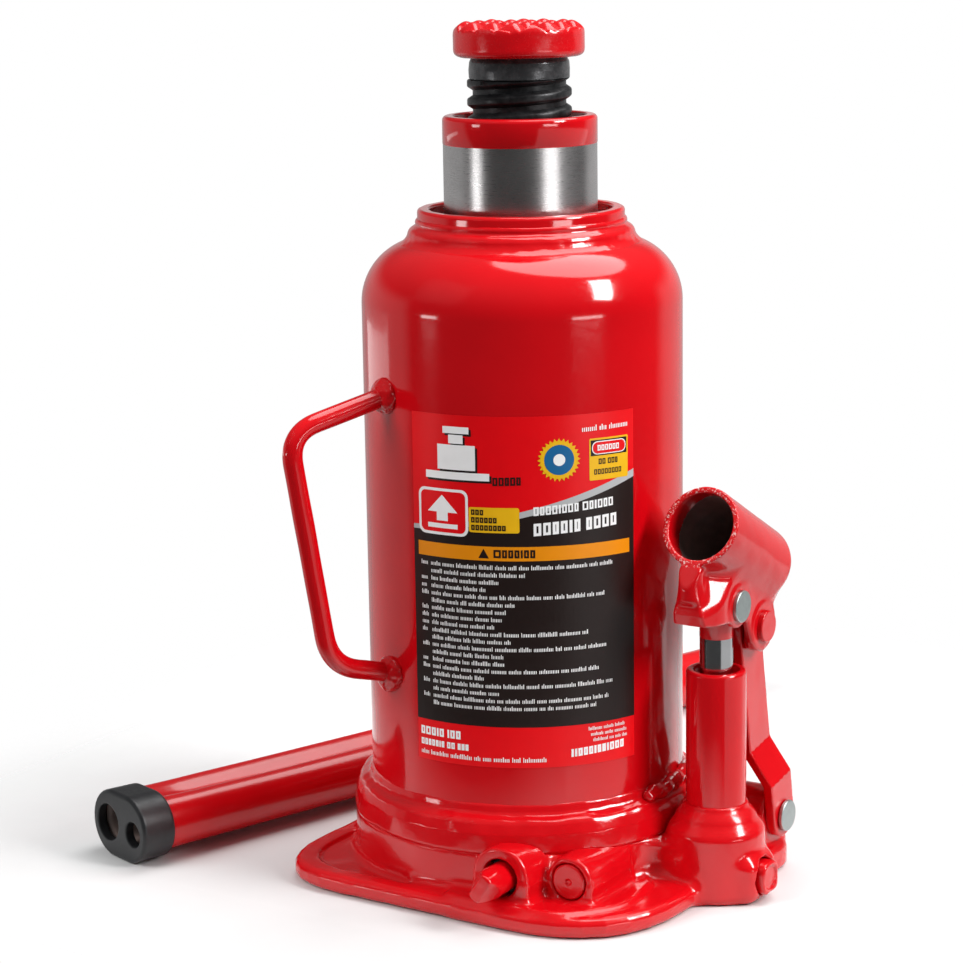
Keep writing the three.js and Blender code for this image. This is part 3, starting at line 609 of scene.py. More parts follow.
def casting_distance(p):
    shape = foot_plate(p)
    shape = join(shape, rod(p, (0, 0, 0), (0, 0, BOSS_TOP), BOSS_RADIUS, 1.2), 3.5)
    shape = join(shape, pump_boss(p), 3)
    footing = bent([[40, 0, 4], [82, 6, 6], [82, 37, 8], [40, 44, 4]])
    shape = join(shape, prism(p, (0, 1), footing, 0, 8.5, 2), 3)
    shape = join(shape, fulcrum_lug(p), 2.5)
    plug_boss = box(p, (74, -9, 0.6), (BASE_HIGH[0], 8.6, 14.8), 3.6)
    shape = join(shape, plug_boss, 3.5)
    for at, half, face, depth in ((RELEASE, 10.2, -61, 22), (RELIEF, 8.2, -51, 26)):
        shape = join(shape, valve_boss(p, at, half, face, depth), 3.2)
    shape = shape + 0.09 * waves(p, 13, 3)
    # everything above the round boss belongs to the tank and its weld
    shape = cut(shape, rod(p, (0, 0, BOSS_TOP + 0.1), (0, 0, 60), BOSS_RADIUS + 0.4), 0.8)
    y, z = FULCRUM[1:]
    cylinder_seat = 33.8
    holes = [
        rod(p, (RELEASE[0], -63, RELEASE[2]), (RELEASE[0], -47, RELEASE[2]), 6.2),
        rod(p, (RELIEF[0], -53, RELIEF[2]), (RELIEF[0], -41, RELIEF[2]), 6.05),
        rod(p, (PUMP_X - 10, y, z), (PUMP_X + 10, y, z), PIN_RADIUS + 0.3),
        rod(p, (85, 0, 8), (BASE_HIGH[0] + 3, 0, 8), 6.2),
        rod(p, (0, 0, BOSS_TOP - 7), (0, 0, BOSS_TOP + 5), cylinder_seat),
    ]
    for hole in holes:
        shape = cut(shape, hole, 0.9)
    # the seat of the pump tube, and the chamber that the plunger dips into under it
    from_pump = np.hypot(p[:, 0] - PUMP_X, p[:, 1])
    for radius, floor in ((PUMP_RADIUS - 1.6, PUMP_FOOT), (PLUNGER_RADIUS + 0.6, CHAMBER_FLOOR)):
        shape = np.maximum(shape, np.minimum(radius - from_pump, p[:, 2] - floor))
    return np.maximum(shape, -p[:, 2])


def make_base():
    low = (BASE_LOW[0], BASE_LOW[1], 0)
    shape = skin(casting_distance, low, (BASE_HIGH[0] + 0.5, BASE_HIGH[1], 32), 0.95)
    add("base_casting_skin", shape, [cast_enamel], "jack_body", ["base_casting"])


def smoothed(points, rounds=3):
    """An open outline with its corners cut off again and again, until it is a smooth curve."""
    for _ in range(rounds):
        points = np.array(points, float)
        middles = np.repeat(points[:-1], 2, 0) * 0.25 + np.repeat(points[1:], 2, 0) * 0.25
        shares = np.stack([points[:-1], points[1:]], 1).reshape(-1, 2) * 0.5
        points = [points[0], *(middles + shares), points[-1]]
    return points


def make_tank():
    foot, wall, top = TANK_FOOT, TANK_WALL, TANK_TOP
    mouth = TANK_RADIUS - TANK_SHOULDER - 0.1
    tank = turned([
        (TANK_RADIUS - wall, foot, 0.2), (TANK_RADIUS, foot, 0.2), (TANK_RADIUS, top, TANK_SHOULDER),
        (mouth, top, 0.2), (mouth, top - wall, 0.2),
        (TANK_RADIUS - wall, top - wall, TANK_SHOULDER - wall),
    ], 160, 20)
    add("reservoir_tank_shell", tank, [smooth_enamel], "jack_body", ["reservoir_tank"])


def lumpy_rim(shape, above):
    """Lets the paint on a turned rim wave a little, leaving what is below a height alone."""
    vertices, faces, normals = shape
    share = np.clip((vertices[:, 2] - above) / 2, 0, 1)
    return vertices + normals * (waves(vertices, 8, 21) * 0.07 * share)[:, None], faces, normals


def make_collar():
    """The top nut: a skirt inside the tank, and the collar that the ram comes out of."""
    skirt_bore, skirt, skirt_foot = 33.8, 38, 186
    guide_bore, guide_foot, guide_top = 27.4, 204, 213
    lip, ledge = 25.6, 215
    collar = turned([
        (guide_bore, guide_foot, 0.3), (skirt_bore, guide_foot, 0.3), (skirt_bore, skirt_foot, 0.3),
        (skirt, skirt_foot, 0.3), (skirt, 206, 0.5), (COLLAR_RADIUS, 208, 0.5),
        (COLLAR_RADIUS, COLLAR_TOP, 1.3), (COLLAR_MOUTH, COLLAR_TOP, 0.9), (COLLAR_MOUTH, ledge, 0.4),
        (lip, ledge, 0.3), (lip, guide_top, 0.3), (guide_bore, guide_top, 0.3),
    ], 160)
    collar = lumpy_rim(collar, COLLAR_TOP - 3)
    add("top_nut_turned", collar, [smooth_enamel], "jack_body", ["top_nut"])


def make_weld_runs():
    """The weld between the tank and its collar, and the one between the tank and the base."""
    run = smoothed([
        (39.8, 209.3), (38.7, 210.1), (37.7, 211.0), (37.1, 212.2), (36.9, 213.4), (36.1, 214.5),
        (34.8, 215.2), (34.4, 215.8), (34.6, 216.5), (34.4, 217.2), (33.9, 217.7), (32.8, 217.8),
    ])
    weld = turned([(r, z, 0) for r, z in [(32.6, 208.7), *run]], 240)
    weld = lumpy(weld, (16, 0.12, 11), (5, 0.05, 12))
    add("top_weld_run", weld, [weld_enamel], "jack_body", ["top_weld_bead"])

    inside = TANK_RADIUS - 0.6
    weld = turned([
        (inside, 18.6, 0), (57.5, 18.6, 0.3), (58.8, 20.4, 2), (58.1, 26.2, 4), (56.7, 30.2, 3),
        (53.5, 31.6, 2.2), (52.8, 34.4, 1.6), (inside, 35.0, 0),
    ], 320, 8)
    weld = lumpy(weld, (19, 0.3, 5), (6, 0.13, 6))
    add("base_weld_run", weld, [weld_enamel], "jack_body", ["base_weld_bead"])


def with_blobs(p, shape, blobs, fillet):
    """A shape with balls of (centre, radius) melted onto it."""
    for blob in blobs:
        shape = join(shape, ball(p, *blob), fillet)
    return shape


def make_weld_patch():
    """The lumps where the base's weld was started over again, above the pump."""
    start, sweep = -12, 30
    rng = np.random.default_rng(23)
    blobs = []
    for share in np.linspace(0, 1, 9):
        a = math.radians(start + sweep * share)
        reached = TANK_RADIUS + rng.uniform(0.8, 2.6)
        at = (reached * math.cos(a), reached * math.sin(a), rng.uniform(31.0, 33.2) + 2 * share)
        blobs.append((at, rng.uniform(1.9, 2.9)))

    def distance(p):
        return with_blobs(p, ball(p, *blobs[0]), blobs[1:], 2.2) + 0.16 * waves(p, 2.8, 24)

    places = [at for at, _ in blobs]
    patch = skin(distance, np.min(places, 0) - 4, np.max(places, 0) + 4, 0.55)
    add("base_weld_patch", patch, [weld_enamel], "jack_body", [])


def make_filler_plug():
    plug = turned([
        (0, 0, 0), (3.4, 0, 0.4), (3.4, 3, 0.2), (6, 4.2, 0.4), (8.2, 4.6, 0.4), (8.2, 6.6, 0.8),
        (6.6, 7.4, 0.5), (3.2, 7.4, 0.3), (2.4, 6.7, 0.3), (0, 6.7, 0),
    ], 64)
    x, _, z = middle("oil_filler_plug")
    front = corners("oil_filler_plug")[0][1]
    plug = moved(plug, lies_along((0, 1, 0), (x, front, z)))
    add("oil_filler_plug_turned", plug, [rubber], "jack_body", ["oil_filler_plug"])


def make_ram():
    """The ram: bare steel, a painted band at its top, and the dark bore that the screw runs in."""
    paint = 0.12
    foot, foot_top = 13, 48
    shape = turned([
        (0, RAM_FOOT, 0), (foot, RAM_FOOT, 0.4), (foot, foot_top, 0.3), (RAM_RADIUS, foot_top, 0.5),
        (RAM_RADIUS, RAM_PAINT, 0), (RAM_RADIUS + paint, RAM_PAINT + 0.25, 0),
        (RAM_RADIUS + paint, RAM_TOP, 1.5), (21.6, RAM_TOP, 0.8), (20.6, RAM_TOP - 6, 0.5),
        (RAM_BORE, RAM_TOP - 7.6, 0.4), (RAM_BORE, 136, 0.5), (0, 130, 0),
    ], 160)

    def choose(centres):
        inner = (np.hypot(centres[:, 0], centres[:, 1]) < RAM_BORE + 0.6) & (centres[:, 2] > 100)
        return np.where(inner, 2, (centres[:, 2] > RAM_PAINT) * 1)

    materials = [ram_steel, smooth_enamel, thread_black]
    add("ram_turned", shape, materials, "ram", ["ram"], choose)


def thread(bottom, top):
    """A right-handed thread with flat crests. Each row of points follows the helix."""
    segments = 72
    half = THREAD_PITCH / 2
    crest, flank = 1.05, 1.2
    section = [
        (-half, THREAD_ROOT), (-crest - flank, THREAD_ROOT), (-crest - 0.3, THREAD_CREST - 0.45),
        (-crest, THREAD_CREST - 0.12), (-crest + 0.35, THREAD_CREST), (crest - 0.35, THREAD_CREST),
        (crest, THREAD_CREST - 0.12), (crest + 0.3, THREAD_CREST - 0.45), (crest + flank, THREAD_ROOT),
    ]
    turns = int((top - bottom) / THREAD_PITCH) + 3
    rows = [(k * THREAD_PITCH + dz, r) for k in range(-1, turns) for dz, r in section]
    angles = np.arange(segments + 1) / segments * TURN
    vertices, faces = [], []
    for dz, r in rows:
        for a in angles:
            z = bottom + dz + THREAD_PITCH * a / TURN
            radius = r if bottom < z < top else min(r, THREAD_ROOT)
            vertices.append((radius * math.cos(a), radius * math.sin(a), min(max(z, bottom), top)))
    width = len(angles)
    for i in range(len(rows) - 1):
        for k in range(segments):
            a = i * width + k
            faces.append([a, a + 1, a + width + 1, a + width])
    return np.array(vertices), faces


def make_screw():
    """The screw's core with its plain neck, and the thread round it."""
    neck_foot = SADDLE_FOOT - NECK_HEIGHT
    core, tail_top = THREAD_ROOT - 0.05, SCREW_FOOT + 8
    vertices, faces, normals = turned([
        (0, SCREW_FOOT, 0), (11, SCREW_FOOT, 0.6), (11, tail_top, 0.2), (core, tail_top, 0.3),
        (core, neck_foot + 0.3, 0.1), (NECK_RADIUS + 0.1, neck_foot - 0.1, 0.7),
        (NECK_RADIUS + 0.1, neck_foot + 3.0, 1), (NECK_RADIUS - 0.15, SADDLE_FOOT - 1.6, 1),
        (NECK_RADIUS - 1.2, SADDLE_FOOT + 0.6, 0.4), (0, SADDLE_FOOT + 0.6, 0),
    ], 120)
    dents = waves(vertices, 5, 8) * 0.12 * (vertices[:, 2] > neck_foot)
    vertices = vertices + normals * dents[:, None]
    materials = [thread_black, neck_black]
    add("extension_screw_core", (vertices, faces, normals), materials, "screw", ["extension_screw"],
        lambda centres: centres[:, 2] > neck_foot)

    helix, quads = thread(SCREW_FOOT + 8.2, neck_foot + 0.2)
    turns = (helix, quads, None)
    mesh = add("extension_screw_thread", turns, [thread_black], "screw", []).data
    work = bmesh.new()
    work.from_mesh(mesh)
    bmesh.ops.remove_doubles(work, verts=work.verts, dist=1e-6)
    bmesh.ops.dissolve_degenerate(work, edges=work.edges, dist=1e-6)
    work.to_mesh(mesh)
    work.free()
    mesh.set_sharp_from_angle(angle=math.radians(32))
    mesh.shade_smooth()


def saddle_distance(p):
    shape = rod(p, (0, 0, SADDLE_FOOT), (0, 0, SADDLE_TOP + 8), SADDLE_RADIUS, 2.6)
    shape = common(shape, rod(p, (0, 0, SADDLE_FOOT - 8), (0, 0, SADDLE_TOP), SADDLE_RADIUS, 4.4), 0.6)
    pitch, depth = 7.6, 2.3
    for axis in (0, 1):
        for k in np.arange(-2.5, 3):
            off = np.abs(p[:, axis] - k * pitch)
            groove = (off - (p[:, 2] - SADDLE_TOP + depth)) * 0.8 - 0.25
            shape = cut(shape, groove, 1.0)
    return shape + 0.05 * waves(p, 6, 4)


def make_saddle():
    low, high = corners("saddle")
    shape = skin(saddle_distance, low, high, 0.45)
    add("saddle_casting", shape, [saddle_enamel], "screw", ["saddle"])


# ---------------------------------------------------------------- carry handle


def swept(centres, sides, radius, segments=32):
    """A round bar along a path that lies in one plane, whose normal is sides."""
    centres = np.array(centres)
    ways = np.gradient(centres, axis=0)
    ways /= reach(ways)[:, None]
    tops = np.cross(sides, ways)
    angles = np.linspace(0, TURN, segments, endpoint=False)
    vertices, normals = [], []
    for centre, top in zip(centres, tops):
        for a in angles:
            normal = math.cos(a) * np.array(sides) + math.sin(a) * top
            vertices.append(centre + radius * normal)
            normals.append(normal)
    faces = []
    for i in range(len(centres) - 1):
        for k in range(segments):
            a, b = i * segments + k, i * segments + (k + 1) % segments
            faces.append([a, b, b + segments, a + segments])
    faces.append(list(range(segments))[::-1])
    faces.append(list(range((len(centres) - 1) * segments, len(centres) * segments)))
    return np.array(vertices), faces, np.array(normals)


def bar_path(points, bend, spacing=1.2):
    """Straight stretches joined by smooth bends, as evenly spaced points."""
    points = [np.array(point, float) for point in points]
    path = [points[0]]

    def run_to(end):
        start = path[-1]
        steps = max(2, int(np.linalg.norm(end - start) / spacing))
        path.extend([start + (end - start) * k / steps for k in range(1, steps + 1)])

    for before, here, after in zip(points, points[1:], points[2:]):
        back, on = before - here, after - here
        enter = here + back / np.linalg.norm(back) * bend
        leave = here + on / np.linalg.norm(on) * bend
        run_to(enter)
        for t in np.linspace(0.08, 1, 14):
            path.append((1 - t) ** 2 * enter + 2 * t * (1 - t) * here + t * t * leave)
    run_to(points[-1])
    return path


def add_handle_weld(name, z, rise, out, side, seed):
    """The lumpy weld round an end of the carry handle, whose rod climbs by rise as it leaves the tank."""
    rng = np.random.default_rng(seed)
    foot = out * TANK_RADIUS + np.array([0, 0, z])
    up = np.array([0, 0, 1])
    count = 11
    blobs = []
    for a in np.arange(count) / count * TURN:
        around = side * math.cos(a) + up * math.sin(a)
        centre = foot + around * rng.uniform(3.5, 4.4) + out * rng.uniform(-0.6, 0.5)
        blobs.append((centre, rng.uniform(1.7, 2.5)))
    start = foot - out * 1.5
    end = foot + out * 3.4 + up * 3.4 * rise

    def distance(p):
        return with_blobs(p, rod(p, start, end, 4.3, 1.6), blobs, 1.5) + 0.12 * waves(p, 2.6, seed)

    shape = skin(distance, foot - 8, foot + 8, 0.5)
    piece = f"handle_weld_{name}_lumps"
    add(piece, shape, [weld_enamel], "jack_body", [f"handle_weld_{name}"])


def make_carry_handle():
    out = np.array([math.cos(ROD_HEADING), math.sin(ROD_HEADING), 0])
    side = np.array([-out[1], out[0], 0])
    places = [(TANK_RADIUS - 1.5, 164.3), (88, 155.6), (75.2, 78.0), (TANK_RADIUS - 1.5, 72.1)]
    points = [out * distance + np.array([0, 0, z]) for distance, z in places]
    shape = swept(bar_path(points, 10.5), side, ROD_RADIUS)
    shape = lumpy(shape, (16, 0.06, 31))
    add("carry_handle_rod", shape, [smooth_enamel], "jack_body", ["carry_handle"])
    for name, z, rise, seed in (("upper", 164, -0.24, 2), ("lower", 72.2, 0.15, 9)):
        add_handle_weld(name, z, rise, out, side, seed)


# ------------------------------------------------------------------- hand pump


def socket_body(p):
    """The casting under the socket's tube: a clevis with leaning facets at its nose. Gives those too."""
    x = PUMP_X
    py, pz = PLUNGER_PIN[1:]
    ly, lz = LINK_PIN[1:]
    flank = [
        (-19.8, pz + 0.4), (-18.4, pz - 3.4), (-14, pz - 3.9), (2, pz - 5), (6, pz - 7),
        (ly - 8, lz - 4), (ly, lz - 8.6), (ly + 8.4, lz), (ly + 8, lz + 6), (30, 100), (30, 103),
        (-10.3, 124.6), (-16.9, 112.7),
    ]
    body = prism(p, (1, 2), flank, x - CHEEK, x + CHEEK, 1.2)
    plan = [(x - 4.6, -21), (x + 4.6, -21), (x + 9, -10), (x + 9, 40), (x - 9, 40), (x - 9, -10)]
    body = common(body, prism(p, (0, 1), plan, 60, 140), 1.0)
    facets = []
    for side in (-1, 1):
        facing = np.array([side * 0.796, -0.423, 0.433])
        facets.append((p - np.array([x + side * 7.9, -16.9, 95.5])) @ facing)
        body = common(body, facets[-1], 0.7)
    proud = CHEEK + 0.15
    for y, z, radius in ((py, pz, 7.2), (ly, lz, 8.4)):
        body = join(body, rod(p, (x - proud, y, z), (x + proud, y, z), radius, 0.9), 1.2)
    return body, np.maximum(*facets)


def socket_distance(p):
    ahead, x = SOCKET_AHEAD, PUMP_X
    back = SOCKET_MOUTH - ahead * SOCKET_LENGTH
    tube = rod(p, SOCKET_MOUTH, back, SOCKET_RADIUS, 0.7)
    dome = rod(p, SOCKET_MOUTH + ahead * 20, back, SOCKET_RADIUS, 6.5)
    tube = common(tube, dome, 0.5)
    body, facets = socket_body(p)
    shape = join(tube, body, 3.2)
    nose = rod(p, (x, -17.6, 101), SOCKET_MOUTH + np.array([0, -5.6, -12.2]), 3.9, 1.5)
    shape = join(shape, nose, 2.5)
    shape = shape + 0.035 * waves(p, 8, 13)
    # the mouth is sawn off square
    shape = common(shape, (p - SOCKET_MOUTH) @ ahead - 0.02, 0.5)
    # the hollow between the cheeks keeps a wall behind the nose and the facets
    well = bent([[-15.3, 60, 0], [11, 60, 0], [11, 98, 3], [4, 103.4, 3], [-15.3, 103.4, 7]])
    room = prism(p, (1, 2), well, x - 5.9, x + 5.9, 0.8)
    room = common(room, 0.8 * np.abs(p[:, 0] - x) - 0.6 * p[:, 1] - 11.6, 0.6)
    room = common(room, facets + 1.6, 0.6)
    shape = cut(shape, room, 0.9)
    fork = [(10, 60), (40, 60), (40, 93.2), (16, 95.5), (10, 96)]
    shape = cut(shape, prism(p, (1, 2), fork, x - 4, x + 4, 0.5), 0.7)
    for _, y, z in (PLUNGER_PIN, LINK_PIN):
        shape = cut(shape, rod(p, (x - 13, y, z), (x + 13, y, z), PIN_RADIUS + 0.15), 0.4)
    bore = rod(p, SOCKET_MOUTH + ahead * 3, back + ahead * 3.5, SOCKET_BORE)
    return cut(shape, bore, 0.8)


def make_socket():
    low, high = corners("handle_socket")
    shape = skin(socket_distance, low - 1, high + 1, 0.55)

    def choose(centres):
        """Painted shade darkens the bore; red paint goes in a little, further on the -X side as painted
        light.
        """
        from_mouth = centres - SOCKET_MOUTH
        along = -(from_mouth @ SOCKET_AHEAD)
        across = reach(from_mouth + along[:, None] * SOCKET_AHEAD)
        depth = 3.5 + 5 * np.clip((PUMP_X - centres[:, 0]) / SOCKET_BORE, -0.3, 1)
        inner = (across < SOCKET_BORE + 0.25) & (along > depth) & (along < SOCKET_LENGTH - 2)
        rim = (along < 0.45) & (across < SOCKET_RADIUS + 0.5)
        return inner * 1 + rim * 2

    materials = [cast_enamel, painted_shade_bore, chips_and_glints_rim]
    add("handle_socket_casting", shape, materials, "socket", ["handle_socket"], choose)


def strap_distance(side):
    """One strap, in a frame that starts at the fulcrum and runs up to the link pin."""
    rise = LINK_PIN[1:] - FULCRUM[1:]
    length = np.linalg.norm(rise)
    along = np.array([0, rise[0], rise[1]]) / length
    across = np.array([0, along[2], -along[1]])
    inner = [(LINK_FOOT_X, -10), (LINK_FOOT_X, 13), (LINK_TOP_X, 24.5), (LINK_TOP_X, length + 10)]
    outer = [(x + LINK_THICKNESS, y + 0.6 * (0 < i < 3)) for i, (x, y) in enumerate(inner)]
    section = inner + outer[::-1]
    origin = np.array([PUMP_X, FULCRUM[1], FULCRUM[2]])

    def distance(p):
        from_foot = p - origin
        s, w, x = from_foot @ along, from_foot @ across, side * from_foot[:, 0]
        flat = outline_distance(x, s, section)
        face = np.hypot(w, s - np.clip(s, 0, length)) - LINK_WIDTH / 2
        shape = rounded([flat, face], 0.55)
        for end in (0, length):
            shape = cut(shape, np.hypot(w, s - end) - PIN_RADIUS - 0.3, 0.4)
        return shape + 0.04 * waves(p, 9, 17)

    return distance


def make_straps():
    for side, word in ((1, "right"), (-1, "left")):
        node = f"link_plate_{word}"
        low, high = corners(node)
        shape = skin(strap_distance(side), low, high, 0.55)
        add(f"{node}_strap", shape, [smooth_enamel], "link", [node])


def make_pins():
    for node, body, material, slot, head in (
        ("plunger_pin", "socket", zinc, "zinc_plate", 1.4),
        ("link_pin", "socket", cast_enamel, "red_enamel", 1.8),
        ("fulcrum_pin", "link", zinc, "zinc_plate", 1.4),
    ):
        low, high = corners(node)
        length = high[0] - low[0]
        pin = turned([
            (0, 0, 0), (PIN_RADIUS - 0.1, 0, 0.5), (PIN_RADIUS - 0.05, length - head, 0.1),
            (PIN_HEAD, length - head, 0.3), (PIN_HEAD, length, 0.45), (0, length + 0.02, 0),
        ], 64, 4)
        at = (low[0], (low[1] + high[1]) / 2, (low[2] + high[2]) / 2)
        pin = moved(pin, lies_along((1, 0, 0), at))
        add(f"{node}_turned", pin, [material], body, [node])


def make_pump():
    """The upright pump tube, and the plunger that comes out of it."""
    bore = 5.8
    cylinder = turned([
        (bore, PUMP_FOOT, 0.3), (PUMP_RADIUS, PUMP_FOOT, 0.5), (PUMP_RADIUS, PUMP_TOP, 1.1),
        (7.5, PUMP_TOP, 0.5), (7.2, PUMP_TOP - 2.4, 0.4), (bore, PUMP_TOP - 2.8, 0.2),
    ], 96, 5, (PUMP_X, 0))
    add("pump_cylinder_turned", cylinder, [smooth_enamel], "jack_body", ["pump_cylinder"])

    low, high = corners("pump_plunger")
    foot, top, r = low[2], high[2], PLUNGER_RADIUS
    painted = r + 0.08
    plunger = turned([
        (0, foot, 0), (2.4, foot, 0.2), (2.4, foot + 6, 0.2), (r, foot + 6, 0.4), (r, PLUNGER_PAINT, 0),
        (painted, PLUNGER_PAINT + 0.2, 0), (painted, top - 3, 0.4), (r - 3, top, 0.5), (0, top, 0),
    ], 72, 4, (PUMP_X, 0))
    add("pump_plunger_turned", plunger, [plunger_steel, smooth_enamel], "plunger", ["pump_plunger"],
        lambda centres: centres[:, 2] > PLUNGER_PAINT)


def make_side_plug():
    """The square plug in the side of the base, with a dimple in its face."""
    low, high = corners("side_plug")
    y, z = (low[1] + high[1]) / 2, (low[2] + high[2]) / 2

    def distance(p):
        shape = rod(p, (low[0], y, z), (high[0] - 0.3, y, z), 6.0, 0.8)
        face = box(p, (low[0], y - 5.4, z - 5.4), (high[0], y + 5.4, z + 5.4), 1.6)
        shape = common(shape, face, 1.2)
        shape = cut(shape, rod(p, (high[0] - 1.2, y, z), (high[0] + 3, y, z), 3.6, 0.4), 1.4)
        return shape + 0.1 * waves(p, 6, 41)

    shape = skin(distance, low, high, 0.45)
    add("side_plug_casting", shape, [cast_enamel], "jack_body", ["side_plug"])


# ---------------------------------------------------------------------- valves


def release_distance(p):
    """The valve's stub, whose end is filed to a chisel for the slot in the pump handle."""
    x, z = RELEASE[0], RELEASE[2]
    back = corners("release_spindle")[1][1]
    tip_y = RELEASE_FRONT + 2
    stem = rod(p, (x, tip_y, z), (x, back - 6.5, z), 5, 0.9)
    tip = rod(p, (x, back - 8, z), (x, back, z), 2.8, 0.9)
    shape = join(stem, tip, 0.8)
    seat = RELEASE_FRONT + 16.5
    groove = np.maximum(np.abs(p[:, 1] - seat) - 1.7, 3.9 - np.hypot(p[:, 0] - x, p[:, 2] - z))
    in_casting = np.abs(p[:, 1] + 55) < 3
    shape = np.where(in_casting, np.maximum(shape, -groove), shape)
    twist, slope = 0.6, 0.5
    flat = np.array([math.cos(twist), 0, -math.sin(twist)])
    across = (p - np.array([x, 0, z])) @ flat
    into = p[:, 1] - tip_y
    for sign in (-1, 1):
        blade = math.cos(slope) * (sign * across - 2.1) - math.sin(slope) * (into - 0.4)
        shape = common(shape, blade, 0.5)
    return shape + 0.04 * waves(p, 4, 19)


def make_valves():
    low, high = corners("release_spindle")
    shape = skin(release_distance, low, high, 0.42)
    materials = [smooth_enamel]
    add("release_spindle_filed", shape, materials, "release_spindle", ["release_spindle"])

    low, high = corners("relief_valve_plug")
    length = high[1] - low[1]
    plug = turned([
        (0, 0, 0), (2.6, 0, 0.3), (2.6, 2, 0.2), (5.8, 2, 0.4), (5.8, length, 0.8),
        (4.4, length - 0.15, 0.5), (1.2, length - 0.25, 0.4), (0.5, length - 0.8, 0.2),
        (0, length - 0.85, 0),
    ], 72)
    plug = moved(plug, lies_along((0, -1, 0), (RELIEF[0], high[1], RELIEF[2])))
    add("relief_valve_plug_turned", plug, [cast_enamel], "jack_body", ["relief_valve_plug"])


# ----------------------------------------------------------- loose pump handle


def lever_matrix():
    """Lays the handle on the ground. It sinks a little from its cap to its thinner far end."""
    slope = -math.asin((LEVER_CAP_RADIUS - LEVER_TUBE_RADIUS) / LEVER_LENGTH)
    turn = Matrix.Rotation(LEVER_HEADING - math.pi / 2, 4, "Z") @ Matrix.Rotation(slope, 4, "X")
    return Matrix.Translation(Vector(LEVER_START)) @ turn


def lever_section(half_width, half_height, pinch, angles):
    """Two round lobes, pinched together between them."""
    groove_width = 5.2
    spread = half_width - half_height
    x = spread * np.tanh(3 * np.cos(angles)) + half_height * np.cos(angles)
    z = half_height * np.sin(angles) * (1 - pinch / half_height * np.exp(-((x / groove_width) ** 2)))
    return x, z


def smooth_between(at, places, values):
    """Eases from one station's value to the next."""
    i = int(np.clip(np.searchsorted(places, at) - 1, 0, len(places) - 2))
    t = float(np.clip((at - places[i]) / (places[i + 1] - places[i]), 0, 1))
    return values[i] + (values[i + 1] - values[i]) * t * t * (3 - 2 * t)


def make_lever_tube():
    """The handle's tube, round at its far end and squeezed into two lobes along the rest."""
    # distance from the near end, half the width, half the height and the depth of the groove
    stations = np.array([
        [4, 14.6, 10.4, 1.6], [13, 14.6, 10.4, 3.2], [30, 14.4, 10.4, 5.2], [70, 14.2, 10.3, 5.8],
        [200, 14.2, 10.3, 5.4], [228, 12.6, 10.4, 2.6], [244, LEVER_TUBE_RADIUS, LEVER_TUBE_RADIUS, 0],
        [LEVER_LENGTH, LEVER_TUBE_RADIUS, LEVER_TUBE_RADIUS, 0],
    ])
    wall, count = 1.8, 72
    angles = (np.arange(count) + 0.5) / count * TURN
    stretch = np.arange(6, LEVER_LENGTH - 1, 3.0)
    # loops of (distance, inset from the outside): along the outside, round the end and back inside
    places = [
        (4.0, wall / 2), (4.3, 0.3), *[(d, 0.0) for d in stretch], (LEVER_LENGTH - 0.5, 0.05),
        (LEVER_LENGTH - 0.15, 0.2), (LEVER_LENGTH, 0.5), (LEVER_LENGTH, wall - 0.4),
        (LEVER_LENGTH - 0.4, wall - 0.05), *[(d, wall) for d in stretch[::-1]],
    ]
    loops = []
    for distance, inset in places:
        w, h, pinch = (smooth_between(distance, stations[:, 0], stations[:, k]) for k in (1, 2, 3))
        x, z = lever_section(w - inset, h - inset, pinch * (1 - 0.05 * inset), angles)
        loops.append(np.stack([x, np.full_like(x, distance), z], -1))
    faces = []
    for i in range(len(loops)):
        here, following = i * count, (i + 1) % len(loops) * count
        for k in range(count):
            n = (k + 1) % count
            faces.append([following + k, following + n, here + n, here + k])
    tube = moved((np.concatenate(loops), faces, None), lever_matrix())
    # painted shade: the tube's inside takes the dark bore colour, though it is red like the outside
    inner = np.repeat([wall * 0.9 < inset for _, inset in places], count)
    add("pump_handle_tube_drawn", tube, [lever_enamel, painted_shade_bore], "pump_handle", ["pump_handle_tube"],
        lambda centres: inner)


def make_lever_cap():
    """The moulded cap, with a round hole for each of two sizes of valve."""
    half_width, radius, length = 16.2, LEVER_CAP_RADIUS, LEVER_CAP_LENGTH
    spread = half_width - radius

    def capsule(p, r):
        return np.hypot(p[:, 0] - np.clip(p[:, 0], -spread, spread), p[:, 2]) - r

    def distance(p):
        taper = 0.25 * np.clip(p[:, 1] / length, 0, 1)
        ends = np.abs(p[:, 1] - length / 2) - length / 2
        shape = rounded([capsule(p, radius - taper), ends], 1.3)
        hollow = np.maximum(capsule(p, radius - 1.35), 3.4 - p[:, 1])
        shape = cut(shape, hollow, 0.4)
        for x, z, r in ((-6.7, 0, 6.3), (8.6, -0.8, 4.3)):
            hole = np.maximum(np.hypot(p[:, 0] - x, p[:, 2] - z) - r, p[:, 1] - 6)
            shape = cut(shape, hole, 0.6)
        return shape

    shape = skin(distance, (-half_width, 0, -radius), (half_width, length, radius), 0.5)
    cap = moved(shape, lever_matrix())
    add("pump_handle_cap_moulded", cap, [cap_plastic], "pump_handle", ["pump_handle_cap"])


# ----------------------------------------------------------------------- label


